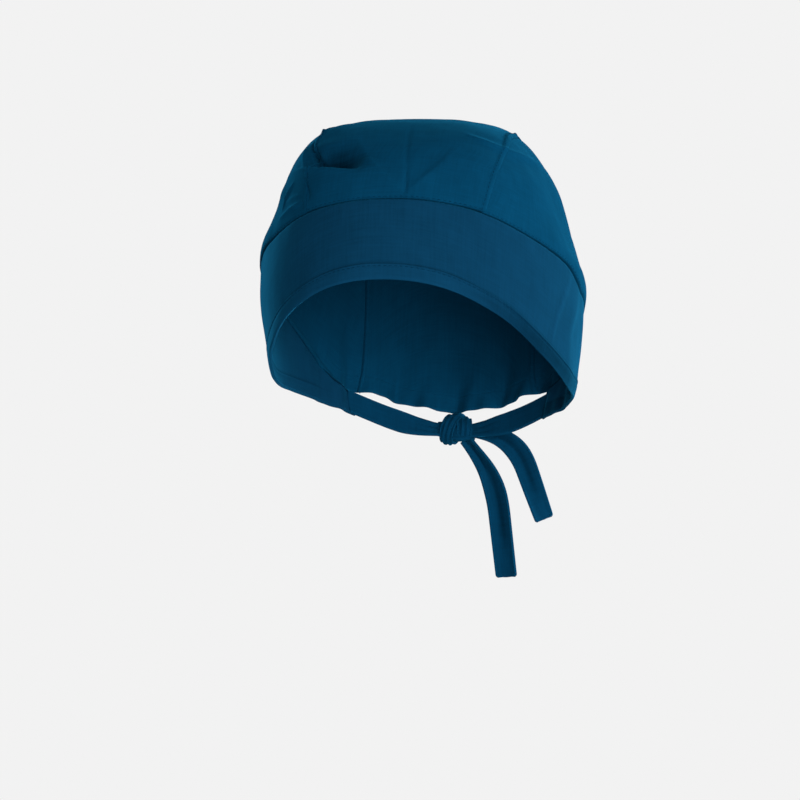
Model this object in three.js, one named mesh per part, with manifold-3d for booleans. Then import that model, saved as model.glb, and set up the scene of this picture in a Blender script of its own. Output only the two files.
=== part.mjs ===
// Tie-back scrub cap, in the shape that it has on a head: a doubled brow band with a stitched hem,
// a crown of one centre panel and two side panels, and two ties knotted at the nape with hanging ends.
// Millimetres, +Z up, the brow faces -Y and the wearer's left is +X. The origin is the centre of the
// head opening, level with the rim over the ears.
import * as THREE from "three";
import { ParametricGeometry } from "three/addons/geometries/ParametricGeometry.js";
import { mergeGeometries, mergeVertices } from "three/addons/utils/BufferGeometryUtils.js";
import Module from "manifold-3d";

// The outside of the cap on the head.
const CROWN_HEIGHT = 146; // rim over the ears to the top of the crown
const HALF_WIDTH = 83; // middle to side at the widest level
const FRONT_REACH = 96; // middle to brow at the widest level
const BACK_REACH = 99; // middle to back at the widest level
const CROWN_LEAN = 3.4; // how far the top leans to the wearer's right

// The cloth.
const CROWN_CLOTH = 1.2;
const BAND_CLOTH = 1.8;
const HEM_STEP = 0.5; // how far the folded hem stands proud of the band
const TIE_CLOTH = 1.3;
const PIECE_GAP = 0.35; // clearance between pieces that are sewn together

// The brow band and the ties that it runs into.
const BAND_HEIGHT = 47;
const HEM_HEIGHT = 8;
const BAND_END_ANGLE = 138; // where the band has narrowed to the tie
const TIE_WIDTH = 13;

// The crown.
const PANEL_HALF_WIDTH = 48; // middle to each lengthwise seam
const SEAM_RIB_WIDTH = 3.4; // flat-felled seam, on the centre panel's edges
const SEAM_RIB_HEIGHT = 0.6;
const BLUNT_CORNER = 0.6; // degrees that a side panel's two corners are cut back
const BACK_HEM_GAP = 4; // crown hem above the ties at the nape
const GATHER_COUNT = 10; // soft gathers round the back of the crown
const GATHER_DEPTH = 1.3;
const GATHER_REACH = 38; // how far the gathers run up from the back hem

// The knot and the two free ends.
const KNOT_HALF_WIDTH = 11;
const KNOT_HALF_DEPTH = 7;
const KNOT_HALF_HEIGHT = 8.5;
const KNOT_WRAP_WIDTH = 9;
const KNOT_WRAP_CLOTH = 1.6;
const TAIL_WAIST = 0.55; // width of a tail where it leaves the knot, as a share of the tie's width
const TAIL_LENGTH = 77; // the longer free end, along the strap

// Level sections of the cap, lowest first. Heights are shares of CROWN_HEIGHT, the others of
// HALF_WIDTH, FRONT_REACH and BACK_REACH. Square is the exponent of the section's oval.
const SECTIONS = [
  { height: -0.27, width: 0.86, front: 0.75, back: 0.77, square: 2.1 },
  { height: 0, width: 0.934, front: 0.937, back: 0.92, square: 2.1 },
  { height: 0.205, width: 0.974, front: 0.99, back: 0.98, square: 2.1 },
  { height: 0.377, width: 1, front: 1, back: 1, square: 2.1 },
  { height: 0.548, width: 0.954, front: 0.965, back: 0.97, square: 2.1 },
  { height: 0.685, width: 0.876, front: 0.9, back: 0.9, square: 2.12 },
  { height: 0.808, width: 0.79, front: 0.79, back: 0.78, square: 2.2 },
  { height: 0.904, width: 0.68, front: 0.63, back: 0.606, square: 2.3 },
  { height: 0.962, width: 0.545, front: 0.45, back: 0.424, square: 2.4 },
  { height: 0.992, width: 0.316, front: 0.262, back: 0.242, square: 2.5 },
  { height: 1, width: 0, front: 0, back: 0, square: 2.5 },
];

// The band's edges round the head. Angle is in degrees from the brow, hem is the lower edge as a
// share of CROWN_HEIGHT, and the band's height is band shares of BAND_HEIGHT and tie shares of TIE_WIDTH.
// The first and last rows mirror others, so that the edges are level at the brow and the nape.
const BAND_EDGES = [
  { angle: -20, hem: 0.447, band: 0.9, tie: 0 },
  { angle: 0, hem: 0.479, band: 0.85, tie: 0 },
  { angle: 20, hem: 0.447, band: 0.9, tie: 0 },
  { angle: 40, hem: 0.346, band: 1.06, tie: 0 },
  { angle: 60, hem: 0.205, band: 1.21, tie: 0 },
  { angle: 80, hem: 0.082, band: 1.24, tie: 0 },
  { angle: 90, hem: 0.038, band: 1.1, tie: 0 },
  { angle: 101, hem: 0.007, band: 0.94, tie: 0 },
  { angle: 115, hem: -0.034, band: 0.55, tie: 0.3 },
  { angle: 128, hem: -0.079, band: 0.12, tie: 0.9 },
  { angle: 140, hem: -0.119, band: 0, tie: 1 },
  { angle: 160, hem: -0.19, band: 0, tie: 1 },
  { angle: 180, hem: -0.222, band: 0, tie: 1 },
  { angle: 200, hem: -0.19, band: 0, tie: 1 },
];

// Folds and dents. Each runs from one place on the cap to another, given by angle and by height as a
// share of CROWN_HEIGHT. Rise is outward and spread is the half width, as shares of HALF_WIDTH.
const FOLDS = [
  { name: "right_tuck_ridge", from: [-80, 0.8], to: [-20, 0.845], rise: 0.026, spread: 0.05 },
  { name: "right_tuck_hollow", from: [-42, 0.868], to: [-18, 0.872], rise: -0.07, spread: 0.1 },
  { name: "right_side_ridge", from: [-57, 0.695], to: [-54, 0.787], rise: 0.014, spread: 0.05 },
  { name: "left_top_ridge", from: [42, 0.954], to: [81, 0.866], rise: 0.018, spread: 0.05 },
  { name: "left_top_hollow", from: [44, 0.932], to: [66, 0.871], rise: -0.014, spread: 0.1 },
  { name: "brow_crease", from: [5, 0.853], to: [6, 0.768], rise: -0.01, spread: 0.045 },
  { name: "brow_fan_left", from: [8, 0.782], to: [27, 0.902], rise: 0.008, spread: 0.1 },
  { name: "brow_fan_right", from: [4, 0.782], to: [-17, 0.927], rise: 0.01, spread: 0.1 },
  { name: "left_seam_puff", from: [70, 0.56], to: [112, 0.3], rise: 0.024, spread: 0.12 },
  { name: "left_side_hollow", from: [84, 0.6], to: [118, 0.6], rise: -0.012, spread: 0.16 },
  { name: "right_seam_puff", from: [-62, 0.62], to: [-104, 0.38], rise: 0.03, spread: 0.13 },
];
const FOLD_REACH = 2.5; // a fold has faded out at this many spreads
const BAND_LEAN = 1.4; // how much higher the seam sits on the wearer's left than on the right

// The free ends, in degrees below the level: where they leave the knot's outline, their slope there
// and at the end. Turn is their twist in degrees. Length is a share of TAIL_LENGTH, cup and behind
// are shares of TIE_WIDTH.
const TAILS = [
  { name: "tail_left", length: 0.84, start: 0, leave: 8, hang: 70, turn: 44, cup: 0.26, behind: 0 },
  { name: "tail_right", length: 1, start: 48, leave: 52, hang: 84, turn: -12, cup: 0.2, behind: 0.12 },
];

// Faces along and across each piece.
const BAND_FACES = { around: 64, up: 8 };
const CENTRE_FACES = { across: 16, over: 46 };
const SIDE_FACES = { around: 26, up: 12 };
const STRAP_FACES = { along: 16, across: 4 };

const SEARCH_STEPS = 26;
const DEGREE = Math.PI / 180;
const CORE = new THREE.Vector3(0, 0, 0.3 * CROWN_HEIGHT); // every ray to the surface starts level with it

const material = (color, roughness) => new THREE.MeshStandardMaterial({ color, roughness, metalness: 0 });
const bandFinish = material(0x0b4560, 0.9);
const crownFinish = material(0x0a4564, 0.9);
const tieFinish = material(0x083c58, 0.92);

// A column of a table at one place, on a smooth curve through its rows.
function smooth(rows, key, place, valueOf) {
  const last = rows.length - 1;
  const at = Math.min(Math.max(place, rows[0][key]), rows[last][key]);
  let i = 0;
  while (i < last - 1 && at > rows[i + 1][key]) i += 1;
  const slope = (a, b) => (valueOf(rows[b]) - valueOf(rows[a])) / (rows[b][key] - rows[a][key]);
  const span = rows[i + 1][key] - rows[i][key];
  const t = (at - rows[i][key]) / span;
  const startSlope = i > 0 ? slope(i - 1, i + 1) : slope(0, 1);
  const endSlope = i + 1 < last ? slope(i, i + 2) : slope(last - 1, last);
  const t2 = t * t;
  const t3 = t2 * t;
  return (
    (2 * t3 - 3 * t2 + 1) * valueOf(rows[i]) +
    (t3 - 2 * t2 + t) * span * startSlope +
    (3 * t2 - 2 * t3) * valueOf(rows[i + 1]) +
    (t3 - t2) * span * endSlope
  );
}

// Widths are smoothed as squares, so that the crown closes in a round top.
function sectionAt(z) {
  const share = z / CROWN_HEIGHT;
  const size = (column, full) =>
    full * Math.sqrt(Math.max(smooth(SECTIONS, "height", share, (row) => row[column] ** 2), 1e-6));
  return {
    width: size("width", HALF_WIDTH),
    front: size("front", FRONT_REACH),
    back: size("back", BACK_REACH),
    square: smooth(SECTIONS, "height", share, (row) => row.square),
    lean: -CROWN_LEAN * THREE.MathUtils.clamp((share - 0.38) / 0.62, -1, 1),
  };
}

// The cap's outside at an angle from the brow, in degrees, and a height.
function aroundHead(angle, z) {
  const s = sectionAt(z);
  const sine = Math.sin(angle * DEGREE);
  const cosine = Math.cos(angle * DEGREE);
  const power = (value) => Math.sign(value) * Math.abs(value) ** (2 / s.square);
  return new THREE.Vector3(
    s.lean + s.width * power(sine),
    -(cosine > 0 ? s.front : s.back) * power(cosine),
    z,
  );
}

// Halves the range until the place where a test turns from true to false is found.
function lastTrue(low, high, test) {
  let [yes, no] = [low, high];
  for (let i = 0; i < SEARCH_STEPS; i += 1) {
    const middle = (yes + no) / 2;
    if (test(middle)) yes = middle;
    else no = middle;
  }
  return yes;
}

// The cap's outside along a ray from a start inside it.
function alongRay(start, direction) {
  const inside = (reach) => {
    const at = start.clone().addScaledVector(direction, reach);
    if (at.z >= CROWN_HEIGHT) return false;
    const s = sectionAt(at.z);
    const length = at.y < 0 ? s.front : s.back;
    return Math.abs((at.x - s.lean) / s.width) ** s.square + Math.abs(at.y / length) ** s.square < 1;
  };
  const reach = lastTrue(0, CROWN_HEIGHT + BACK_REACH, inside);
  return start.clone().addScaledVector(direction, reach);
}

// The outside in a lengthwise plane, at a lift in degrees from 0 at the brow to 180 at the back.
function overHead(x, lift) {
  const direction = new THREE.Vector3(0, -Math.cos(lift * DEGREE), Math.sin(lift * DEGREE));
  return alongRay(new THREE.Vector3(x, 0, CORE.z), direction);
}

// The outward normal of a surface of two values, by small steps.
function normalOf(surface, a, b, step = 0.2) {
  const alongA = surface(a + step, b).sub(surface(a - step, b));
  const alongB = surface(a, b + step).sub(surface(a, b - step));
  const normal = alongA.cross(alongB).normalize();
  const outward = surface(a, b).sub(CORE);
  return normal.dot(outward) < 0 ? normal.negate() : normal;
}

const placedFolds = FOLDS.map((fold) => ({
  ...fold,
  line: new THREE.Line3(
    aroundHead(fold.from[0], fold.from[1] * CROWN_HEIGHT),
    aroundHead(fold.to[0], fold.to[1] * CROWN_HEIGHT),
  ),
}));

// How far the folds lift the cloth at a point. A fold fades across its spread and towards its ends.
function foldRise(point) {
  const nearest = new THREE.Vector3();
  return placedFolds.reduce((sum, fold) => {
    const along = fold.line.closestPointToPointParameter(point, true);
    fold.line.at(along, nearest);
    const away = point.distanceTo(nearest) / (fold.spread * HALF_WIDTH);
    if (away > FOLD_REACH) return sum;
    const fade = 0.35 + 0.65 * Math.sin(Math.PI * Math.min(Math.max(along, 0), 1));
    return sum + fold.rise * HALF_WIDTH * fade * Math.exp(-away * away);
  }, 0);
}

const hemHeight = (angle) => CROWN_HEIGHT * smooth(BAND_EDGES, "angle", Math.abs(angle), (row) => row.hem);

// The band's upper edge, which is the tie's upper edge behind the ears.
function bandTop(angle) {
  const turn = Math.abs(angle);
  const height =
    BAND_HEIGHT * smooth(BAND_EDGES, "angle", turn, (row) => row.band) +
    TIE_WIDTH * smooth(BAND_EDGES, "angle", turn, (row) => row.tie);
  return hemHeight(angle) + height + BAND_LEAN * Math.sin(angle * DEGREE);
}

// The crown's lower edge: sewn to the band, and a free hem over the ties behind it.
function crownEdge(angle) {
  const behind = THREE.MathUtils.smoothstep(Math.abs(angle), BAND_END_ANGLE - 14, BAND_END_ANGLE + 12);
  return bandTop(angle) + PIECE_GAP * 1.5 + (BACK_HEM_GAP - PIECE_GAP) * behind;
}

// Gathers round the back of the crown, deepest at its hem.
function gatherRise(point) {
  const angle = Math.atan2(point.x, -point.y) / DEGREE;
  const behind = THREE.MathUtils.smoothstep(Math.abs(angle), 112, 150);
  const above = (point.z - crownEdge(angle)) / GATHER_REACH;
  if (behind === 0 || above > 1) return 0;
  const wave = Math.cos((angle * DEGREE + Math.PI) * 2 * GATHER_COUNT);
  return GATHER_DEPTH * behind * (1 - Math.max(above, 0)) ** 2 * (0.6 + wave);
}

// A closed piece of cloth. Layer gives the point at u along, v across and depth 0 outside to 1 inside.
function clothSolid(layer, along, across) {
  const face = (pick, columns, rows) => {
    const place = (a, b, target) => target.copy(layer(...pick(a, b)));
    const geometry = new ParametricGeometry(place, columns, rows);
    geometry.deleteAttribute("normal");
    geometry.deleteAttribute("uv");
    return geometry;
  };
  const faces = [
    face((a, b) => [a, b, 0], along, across),
    face((a, b) => [1 - a, b, 1], along, across),
    face((a, b) => [1 - a, 0, b], along, 1),
    face((a, b) => [a, 1, b], along, 1),
    face((a, b) => [0, a, b], across, 1),
    face((a, b) => [1, 1 - a, b], across, 1),
  ];
  const closed = mergeVertices(mergeGeometries(faces), 1e-3);
  if (volumeOf(closed) < 0) turnOver(closed);
  closed.computeVertexNormals();
  return closed;
}

function volumeOf(geometry) {
  const position = geometry.getAttribute("position");
  const [a, b, c] = [new THREE.Vector3(), new THREE.Vector3(), new THREE.Vector3()];
  let six = 0;
  for (let i = 0; i < geometry.index.count; i += 3) {
    a.fromBufferAttribute(position, geometry.index.getX(i));
    b.fromBufferAttribute(position, geometry.index.getX(i + 1));
    c.fromBufferAttribute(position, geometry.index.getX(i + 2));
    six += a.dot(b.cross(c));
  }
  return six / 6;
}

function turnOver(geometry) {
  const index = geometry.index;
  for (let i = 0; i < index.count; i += 3) {
    const second = index.getX(i + 1);
    index.setX(i + 1, index.getX(i + 2));
    index.setX(i + 2, second);
  }
}

function named(name, geometry, finish) {
  const mesh = new THREE.Mesh(geometry, finish);
  mesh.name = name;
  return mesh;
}

// The brow band, with its hem folded up and standing proud below the stitch line.
function browBand() {
  const stations = [0, 0.5 * HEM_HEIGHT, HEM_HEIGHT - PIECE_GAP, HEM_HEIGHT + PIECE_GAP];
  const layer = (u, v, depth) => {
    const angle = THREE.MathUtils.lerp(-BAND_END_ANGLE, BAND_END_ANGLE, u);
    const [low, high] = [hemHeight(angle), bandTop(angle)];
    const rows = BAND_FACES.up;
    const row = Math.round(v * rows);
    const steps = stations.length;
    const rest = (high - low - stations[steps - 1]) / (rows - steps + 1);
    const above = row < steps ? stations[row] : stations[steps - 1] + rest * (row - steps + 1);
    const z = low + above;
    const point = aroundHead(angle, z);
    const normal = normalOf(aroundHead, angle, z);
    const proud = row < steps - 1 ? HEM_STEP : 0;
    const lift = foldRise(point) * 0.5 + proud - depth * (BAND_CLOTH + proud);
    return point.addScaledVector(normal, lift);
  };
  return named("brow_band", clothSolid(layer, BAND_FACES.around, BAND_FACES.up), bandFinish);
}

// The angle at which the crown's lower edge crosses a lengthwise plane, in front or behind.
function edgeAngle(x, behind) {
  const side = Math.sign(x) || 1;
  const crosses = (turn) => {
    const angle = side * (behind ? 180 - turn : turn);
    return side * aroundHead(angle, crownEdge(angle)).x < Math.abs(x);
  };
  const turn = lastTrue(-20, 85, crosses);
  return side * (behind ? 180 - turn : turn);
}

// A lengthwise line on the crown, with the angles and the lifts at which it starts and ends.
function lengthwiseLine(x) {
  const [brow, nape] = [edgeAngle(x, false), edgeAngle(x, true)];
  const lift = (angle) => {
    const end = aroundHead(angle, crownEdge(angle));
    return (Math.atan2(end.z - CORE.z, -end.y) / DEGREE + 360) % 360;
  };
  return { x, brow: Math.abs(brow), nape: Math.abs(nape), first: lift(brow), last: lift(nape) };
}

function crownCloth(point, normal, depth, rib) {
  const outside = foldRise(point) + gatherRise(point) + rib;
  return point.addScaledVector(normal, outside - depth * (CROWN_CLOTH + rib));
}

// The centre panel runs from the brow over the top to the nape, with a felled seam along each side.
function centrePanel() {
  const half = PANEL_HALF_WIDTH - PIECE_GAP / 2;
  const { across, over } = CENTRE_FACES;
  const seam = [0, SEAM_RIB_WIDTH * 0.9, SEAM_RIB_WIDTH];
  const plain = (2 * (half - SEAM_RIB_WIDTH)) / (across - 2 * (seam.length - 1));
  const columns = Array.from({ length: across + 1 }, (_, i) => {
    const fromEdge = Math.min(i, across - i);
    const inward = seam[fromEdge] ?? SEAM_RIB_WIDTH + plain * (fromEdge - seam.length + 1);
    const line = lengthwiseLine((i * 2 > across ? -1 : 1) * (inward - half));
    return { ...line, rib: fromEdge < seam.length - 1 ? SEAM_RIB_HEIGHT : 0 };
  });
  const layer = (u, v, depth) => {
    const { x, first, last, rib } = columns[Math.round(u * across)];
    const lift = THREE.MathUtils.lerp(first, last, v);
    return crownCloth(overHead(x, lift), normalOf(overHead, x, lift), depth, rib);
  };
  return named("crown_centre_panel", clothSolid(layer, across, over), crownFinish);
}

// A side panel fills the space between a lengthwise seam, the band and the back hem.
function sidePanel(name, side) {
  const line = lengthwiseLine(side * (PANEL_HALF_WIDTH + PIECE_GAP));
  const surface = (u, v) => {
    const between = (from, to) => THREE.MathUtils.lerp(from + BLUNT_CORNER, to - BLUNT_CORNER, u);
    const angle = side * between(line.brow, line.nape);
    const low = aroundHead(angle, crownEdge(angle));
    const high = overHead(line.x, between(line.first, line.last));
    const direction = low.lerp(high, v).sub(CORE).normalize();
    return alongRay(CORE, direction);
  };
  const layer = (u, v, depth) => {
    const [a, b] = [u, v].map((share) => THREE.MathUtils.clamp(share, 0.003, 0.997));
    return crownCloth(surface(u, v), normalOf(surface, a, b, 0.003), depth, 0);
  };
  return named(name, clothSolid(layer, SIDE_FACES.around, SIDE_FACES.up), crownFinish);
}

const knotPlace = () => {
  const z = (hemHeight(180) + bandTop(180)) / 2;
  return aroundHead(180, z).add(new THREE.Vector3(0, KNOT_HALF_DEPTH * 0.8, 0));
};

// A tie runs from the end of the band to the knot and is drawn in where it enters the knot.
function tieStrap(name, side) {
  const knot = knotPlace();
  const gapAngle = PIECE_GAP / (BACK_REACH * DEGREE);
  const clear = KNOT_HALF_WIDTH + PIECE_GAP;
  const knotTurn = lastTrue(0, 40, (turn) => Math.abs(aroundHead(180 - turn, knot.z).x - knot.x) < clear);
  const layer = (u, v, depth) => {
    const angle = side * THREE.MathUtils.lerp(BAND_END_ANGLE + gapAngle, 180 - knotTurn, u);
    const middle = (hemHeight(angle) + bandTop(angle)) / 2;
    const drawn = 1 - (1 - TAIL_WAIST) * THREE.MathUtils.smoothstep(u, 0.55, 1);
    const z = middle + (v - 0.5) * TIE_WIDTH * drawn;
    const point = aroundHead(angle, z);
    return point.addScaledVector(normalOf(aroundHead, angle, z), -depth * TIE_CLOTH);
  };
  return named(name, clothSolid(layer, STRAP_FACES.along, STRAP_FACES.across), tieFinish);
}

// A free end leaves the knot sideways and bends down under its own weight, hollow along its middle.
function tail(row) {
  const knot = knotPlace();
  const bend = (share) =>
    THREE.MathUtils.lerp(row.leave, row.hang, THREE.MathUtils.smoothstep(share, 0, 0.6));
  const out = new THREE.Vector3(Math.cos(row.start * DEGREE), 0, -Math.sin(row.start * DEGREE));
  const edge = 1 / Math.hypot(out.x / KNOT_HALF_WIDTH, out.z / KNOT_HALF_HEIGHT);
  const points = [knot.clone().addScaledVector(out, edge + PIECE_GAP)];
  const steps = 24;
  for (let i = 0; i < steps; i += 1) {
    const angle = bend((i + 0.5) / steps) * DEGREE;
    const down = new THREE.Vector3(Math.cos(angle), 0, -Math.sin(angle));
    points.push(points[i].clone().addScaledVector(down, (row.length * TAIL_LENGTH) / steps));
  }
  const route = new THREE.CatmullRomCurve3(points);
  const layer = (u, v, depth) => {
    const centre = route.getPointAt(u);
    const tangent = route.getTangentAt(u);
    const flat = new THREE.Vector3(0, 1, 0).applyAxisAngle(tangent, row.turn * DEGREE * u);
    const across = new THREE.Vector3().crossVectors(flat, tangent).normalize();
    const width = TIE_WIDTH * THREE.MathUtils.lerp(TAIL_WAIST, 0.95, THREE.MathUtils.smoothstep(u, 0, 0.45));
    const cupped = row.cup * TIE_WIDTH * (1 - (2 * v - 1) ** 2) * (1 - 0.45 * u);
    return centre
      .addScaledVector(across, (v - 0.5) * width)
      .addScaledVector(flat, cupped + row.behind * TIE_WIDTH * u + (0.5 - depth) * TIE_CLOTH);
  };
  return named(row.name, clothSolid(layer, STRAP_FACES.along, STRAP_FACES.across), tieFinish);
}

// The knot: a crushed lump of strap with one turn lying slantwise over it.
async function tieKnot() {
  const wasm = await Module();
  wasm.setup();
  const solid = (geometry) => {
    const bare = geometry.index ? geometry.toNonIndexed() : geometry.clone();
    bare.deleteAttribute("normal");
    bare.deleteAttribute("uv");
    const merged = mergeVertices(bare, 1e-3);
    return new wasm.Manifold(
      new wasm.Mesh({
        numProp: 3,
        vertProperties: new Float32Array(merged.attributes.position.array),
        triVerts: new Uint32Array(merged.index.array),
      }),
    );
  };
  const lump = new THREE.SphereGeometry(1, 20, 14).scale(KNOT_HALF_WIDTH, KNOT_HALF_DEPTH, KNOT_HALF_HEIGHT);
  const reach = KNOT_HALF_DEPTH + KNOT_WRAP_CLOTH * 0.6;
  const profile = [
    [reach - 2 * KNOT_WRAP_CLOTH, -KNOT_WRAP_WIDTH / 2],
    [reach - 0.4 * KNOT_WRAP_CLOTH, -KNOT_WRAP_WIDTH / 2],
    [reach, -KNOT_WRAP_WIDTH / 4],
    [reach, KNOT_WRAP_WIDTH / 4],
    [reach - 0.4 * KNOT_WRAP_CLOTH, KNOT_WRAP_WIDTH / 2],
    [reach - 2 * KNOT_WRAP_CLOTH, KNOT_WRAP_WIDTH / 2],
    [reach - 2 * KNOT_WRAP_CLOTH, -KNOT_WRAP_WIDTH / 2],
  ].map(([r, h]) => new THREE.Vector2(r, h));
  const wrap = new THREE.LatheGeometry(profile, 20)
    .rotateZ(Math.PI / 2)
    .scale(1, 1, (KNOT_HALF_HEIGHT + KNOT_WRAP_CLOTH * 0.5) / reach)
    .rotateY(24 * DEGREE);
  const mesh = solid(lump).add(solid(wrap)).getMesh();
  const geometry = new THREE.BufferGeometry()
    .setAttribute("position", new THREE.BufferAttribute(mesh.vertProperties, 3))
    .setIndex(new THREE.BufferAttribute(mesh.triVerts, 1));
  geometry.computeVertexNormals();
  const made = named("tie_knot", geometry, tieFinish);
  made.position.copy(knotPlace());
  return made;
}

const cap = new THREE.Group();
cap.name = "scrub_cap";
cap.add(
  browBand(),
  centrePanel(),
  sidePanel("crown_side_left", 1),
  sidePanel("crown_side_right", -1),
  tieStrap("tie_left", 1),
  tieStrap("tie_right", -1),
  await tieKnot(),
  ...TAILS.map(tail),
);

export default cap;
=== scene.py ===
"""A worn tie-back scrub cap: doubled brow band, panelled crown, and two ties knotted at the nape.

The cap's outside is one smooth form, worked out from named sizes. Each cloth piece is a grid that is
laid on that form, lifted by folds, hems and seams, and given its thickness by a modifier. Sizes are in
millimetres until a mesh is made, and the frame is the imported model's: +Z up, the brow faces -Y.
"""

import logging
import math
from collections.abc import Callable
from dataclasses import dataclass, field
from enum import Enum

import bmesh
import bpy
import numpy as np
from mathutils import Matrix, Vector, noise


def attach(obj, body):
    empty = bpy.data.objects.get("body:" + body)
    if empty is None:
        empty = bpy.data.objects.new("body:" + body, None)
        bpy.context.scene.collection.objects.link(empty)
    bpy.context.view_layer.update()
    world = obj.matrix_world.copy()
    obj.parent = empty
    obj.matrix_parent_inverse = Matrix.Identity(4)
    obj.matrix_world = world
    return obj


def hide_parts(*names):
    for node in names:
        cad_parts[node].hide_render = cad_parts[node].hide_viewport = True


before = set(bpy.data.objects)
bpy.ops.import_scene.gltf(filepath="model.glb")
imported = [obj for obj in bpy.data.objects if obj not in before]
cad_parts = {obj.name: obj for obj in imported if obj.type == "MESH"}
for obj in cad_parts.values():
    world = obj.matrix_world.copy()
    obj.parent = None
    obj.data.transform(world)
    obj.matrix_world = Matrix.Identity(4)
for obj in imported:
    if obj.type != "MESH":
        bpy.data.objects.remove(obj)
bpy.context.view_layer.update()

ROOT = "root"
MM = 0.001
INSIDE_HEIGHT = 44.0
LOG = logging.getLogger("scrub_cap")

Points = np.ndarray


class Side(Enum):
    """Which side of the wearer a piece is on. The value is the sign of X."""

    LEFT = 1
    RIGHT = -1


class Rib(Enum):
    """Profiles that a fold can have across its line."""

    SOFT = "soft"
    CREASED = "creased"


# The form that the cloth lies on


@dataclass(frozen=True)
class Section:
    """A level section of the cap. All are shares of the named sizes, and square is its oval's exponent."""

    height: float
    width: float
    front: float
    back: float
    square: float


@dataclass(frozen=True)
class BandEdge:
    """Where the band's edges run at an angle from the brow, in degrees. The first and last mirror others."""

    angle: float
    hem: float
    band: float
    tie: float


@dataclass(frozen=True)
class Fold:
    """A fold or dent that runs through places on the cap.

    Places are (angle in degrees, share of the crown's height). Rise is outward in millimetres. Above
    and below are its half widths in millimetres on its two sides. Tips is the share of its rise that
    is left at its ends. Tone is how much paler its cloth is painted, or, below 0, its painted shade.
    """

    name: str
    path: tuple[tuple[float, float], ...]
    rise: float
    above: float
    below: float
    rib: Rib = Rib.SOFT
    tips: float = 0.3
    tone: float = 0.0


@dataclass(frozen=True)
class Tug:
    """How far sideways a lengthwise seam is pulled, in millimetres, at a lift over the head in degrees."""

    lift: float
    shift: float


SECTIONS = (
    Section(-0.27, 0.86, 0.75, 0.77, 2.1),
    Section(0, 0.934, 0.937, 0.92, 2.1),
    Section(0.205, 0.974, 0.99, 0.98, 2.1),
    Section(0.377, 1, 1, 1, 2.1),
    Section(0.548, 0.954, 0.965, 0.97, 2.1),
    Section(0.685, 0.876, 0.9, 0.9, 2.12),
    Section(0.808, 0.79, 0.79, 0.78, 2.2),
    Section(0.904, 0.68, 0.63, 0.606, 2.3),
    Section(0.962, 0.545, 0.45, 0.424, 2.4),
    Section(0.992, 0.316, 0.262, 0.242, 2.5),
    Section(1, 0, 0, 0, 2.5),
)

BAND_EDGES = (
    BandEdge(-20, 0.447, 0.9, 0),
    BandEdge(0, 0.479, 0.85, 0),
    BandEdge(20, 0.447, 0.9, 0),
    BandEdge(40, 0.346, 1.06, 0),
    BandEdge(60, 0.205, 1.21, 0),
    BandEdge(80, 0.082, 1.24, 0),
    BandEdge(90, 0.038, 1.1, 0),
    BandEdge(101, 0.007, 0.94, 0),
    BandEdge(115, -0.034, 0.55, 0.3),
    BandEdge(128, -0.079, 0.12, 0.9),
    BandEdge(140, -0.119, 0, 1),
    BandEdge(160, -0.19, 0, 1),
    BandEdge(180, -0.222, 0, 1),
    BandEdge(200, -0.19, 0, 1),
)

# A fold's tone is painted into the cloth's colour: below 0 it is painted shade in dents, creases and seams,
# above 0 the ridge is painted paler.
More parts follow.
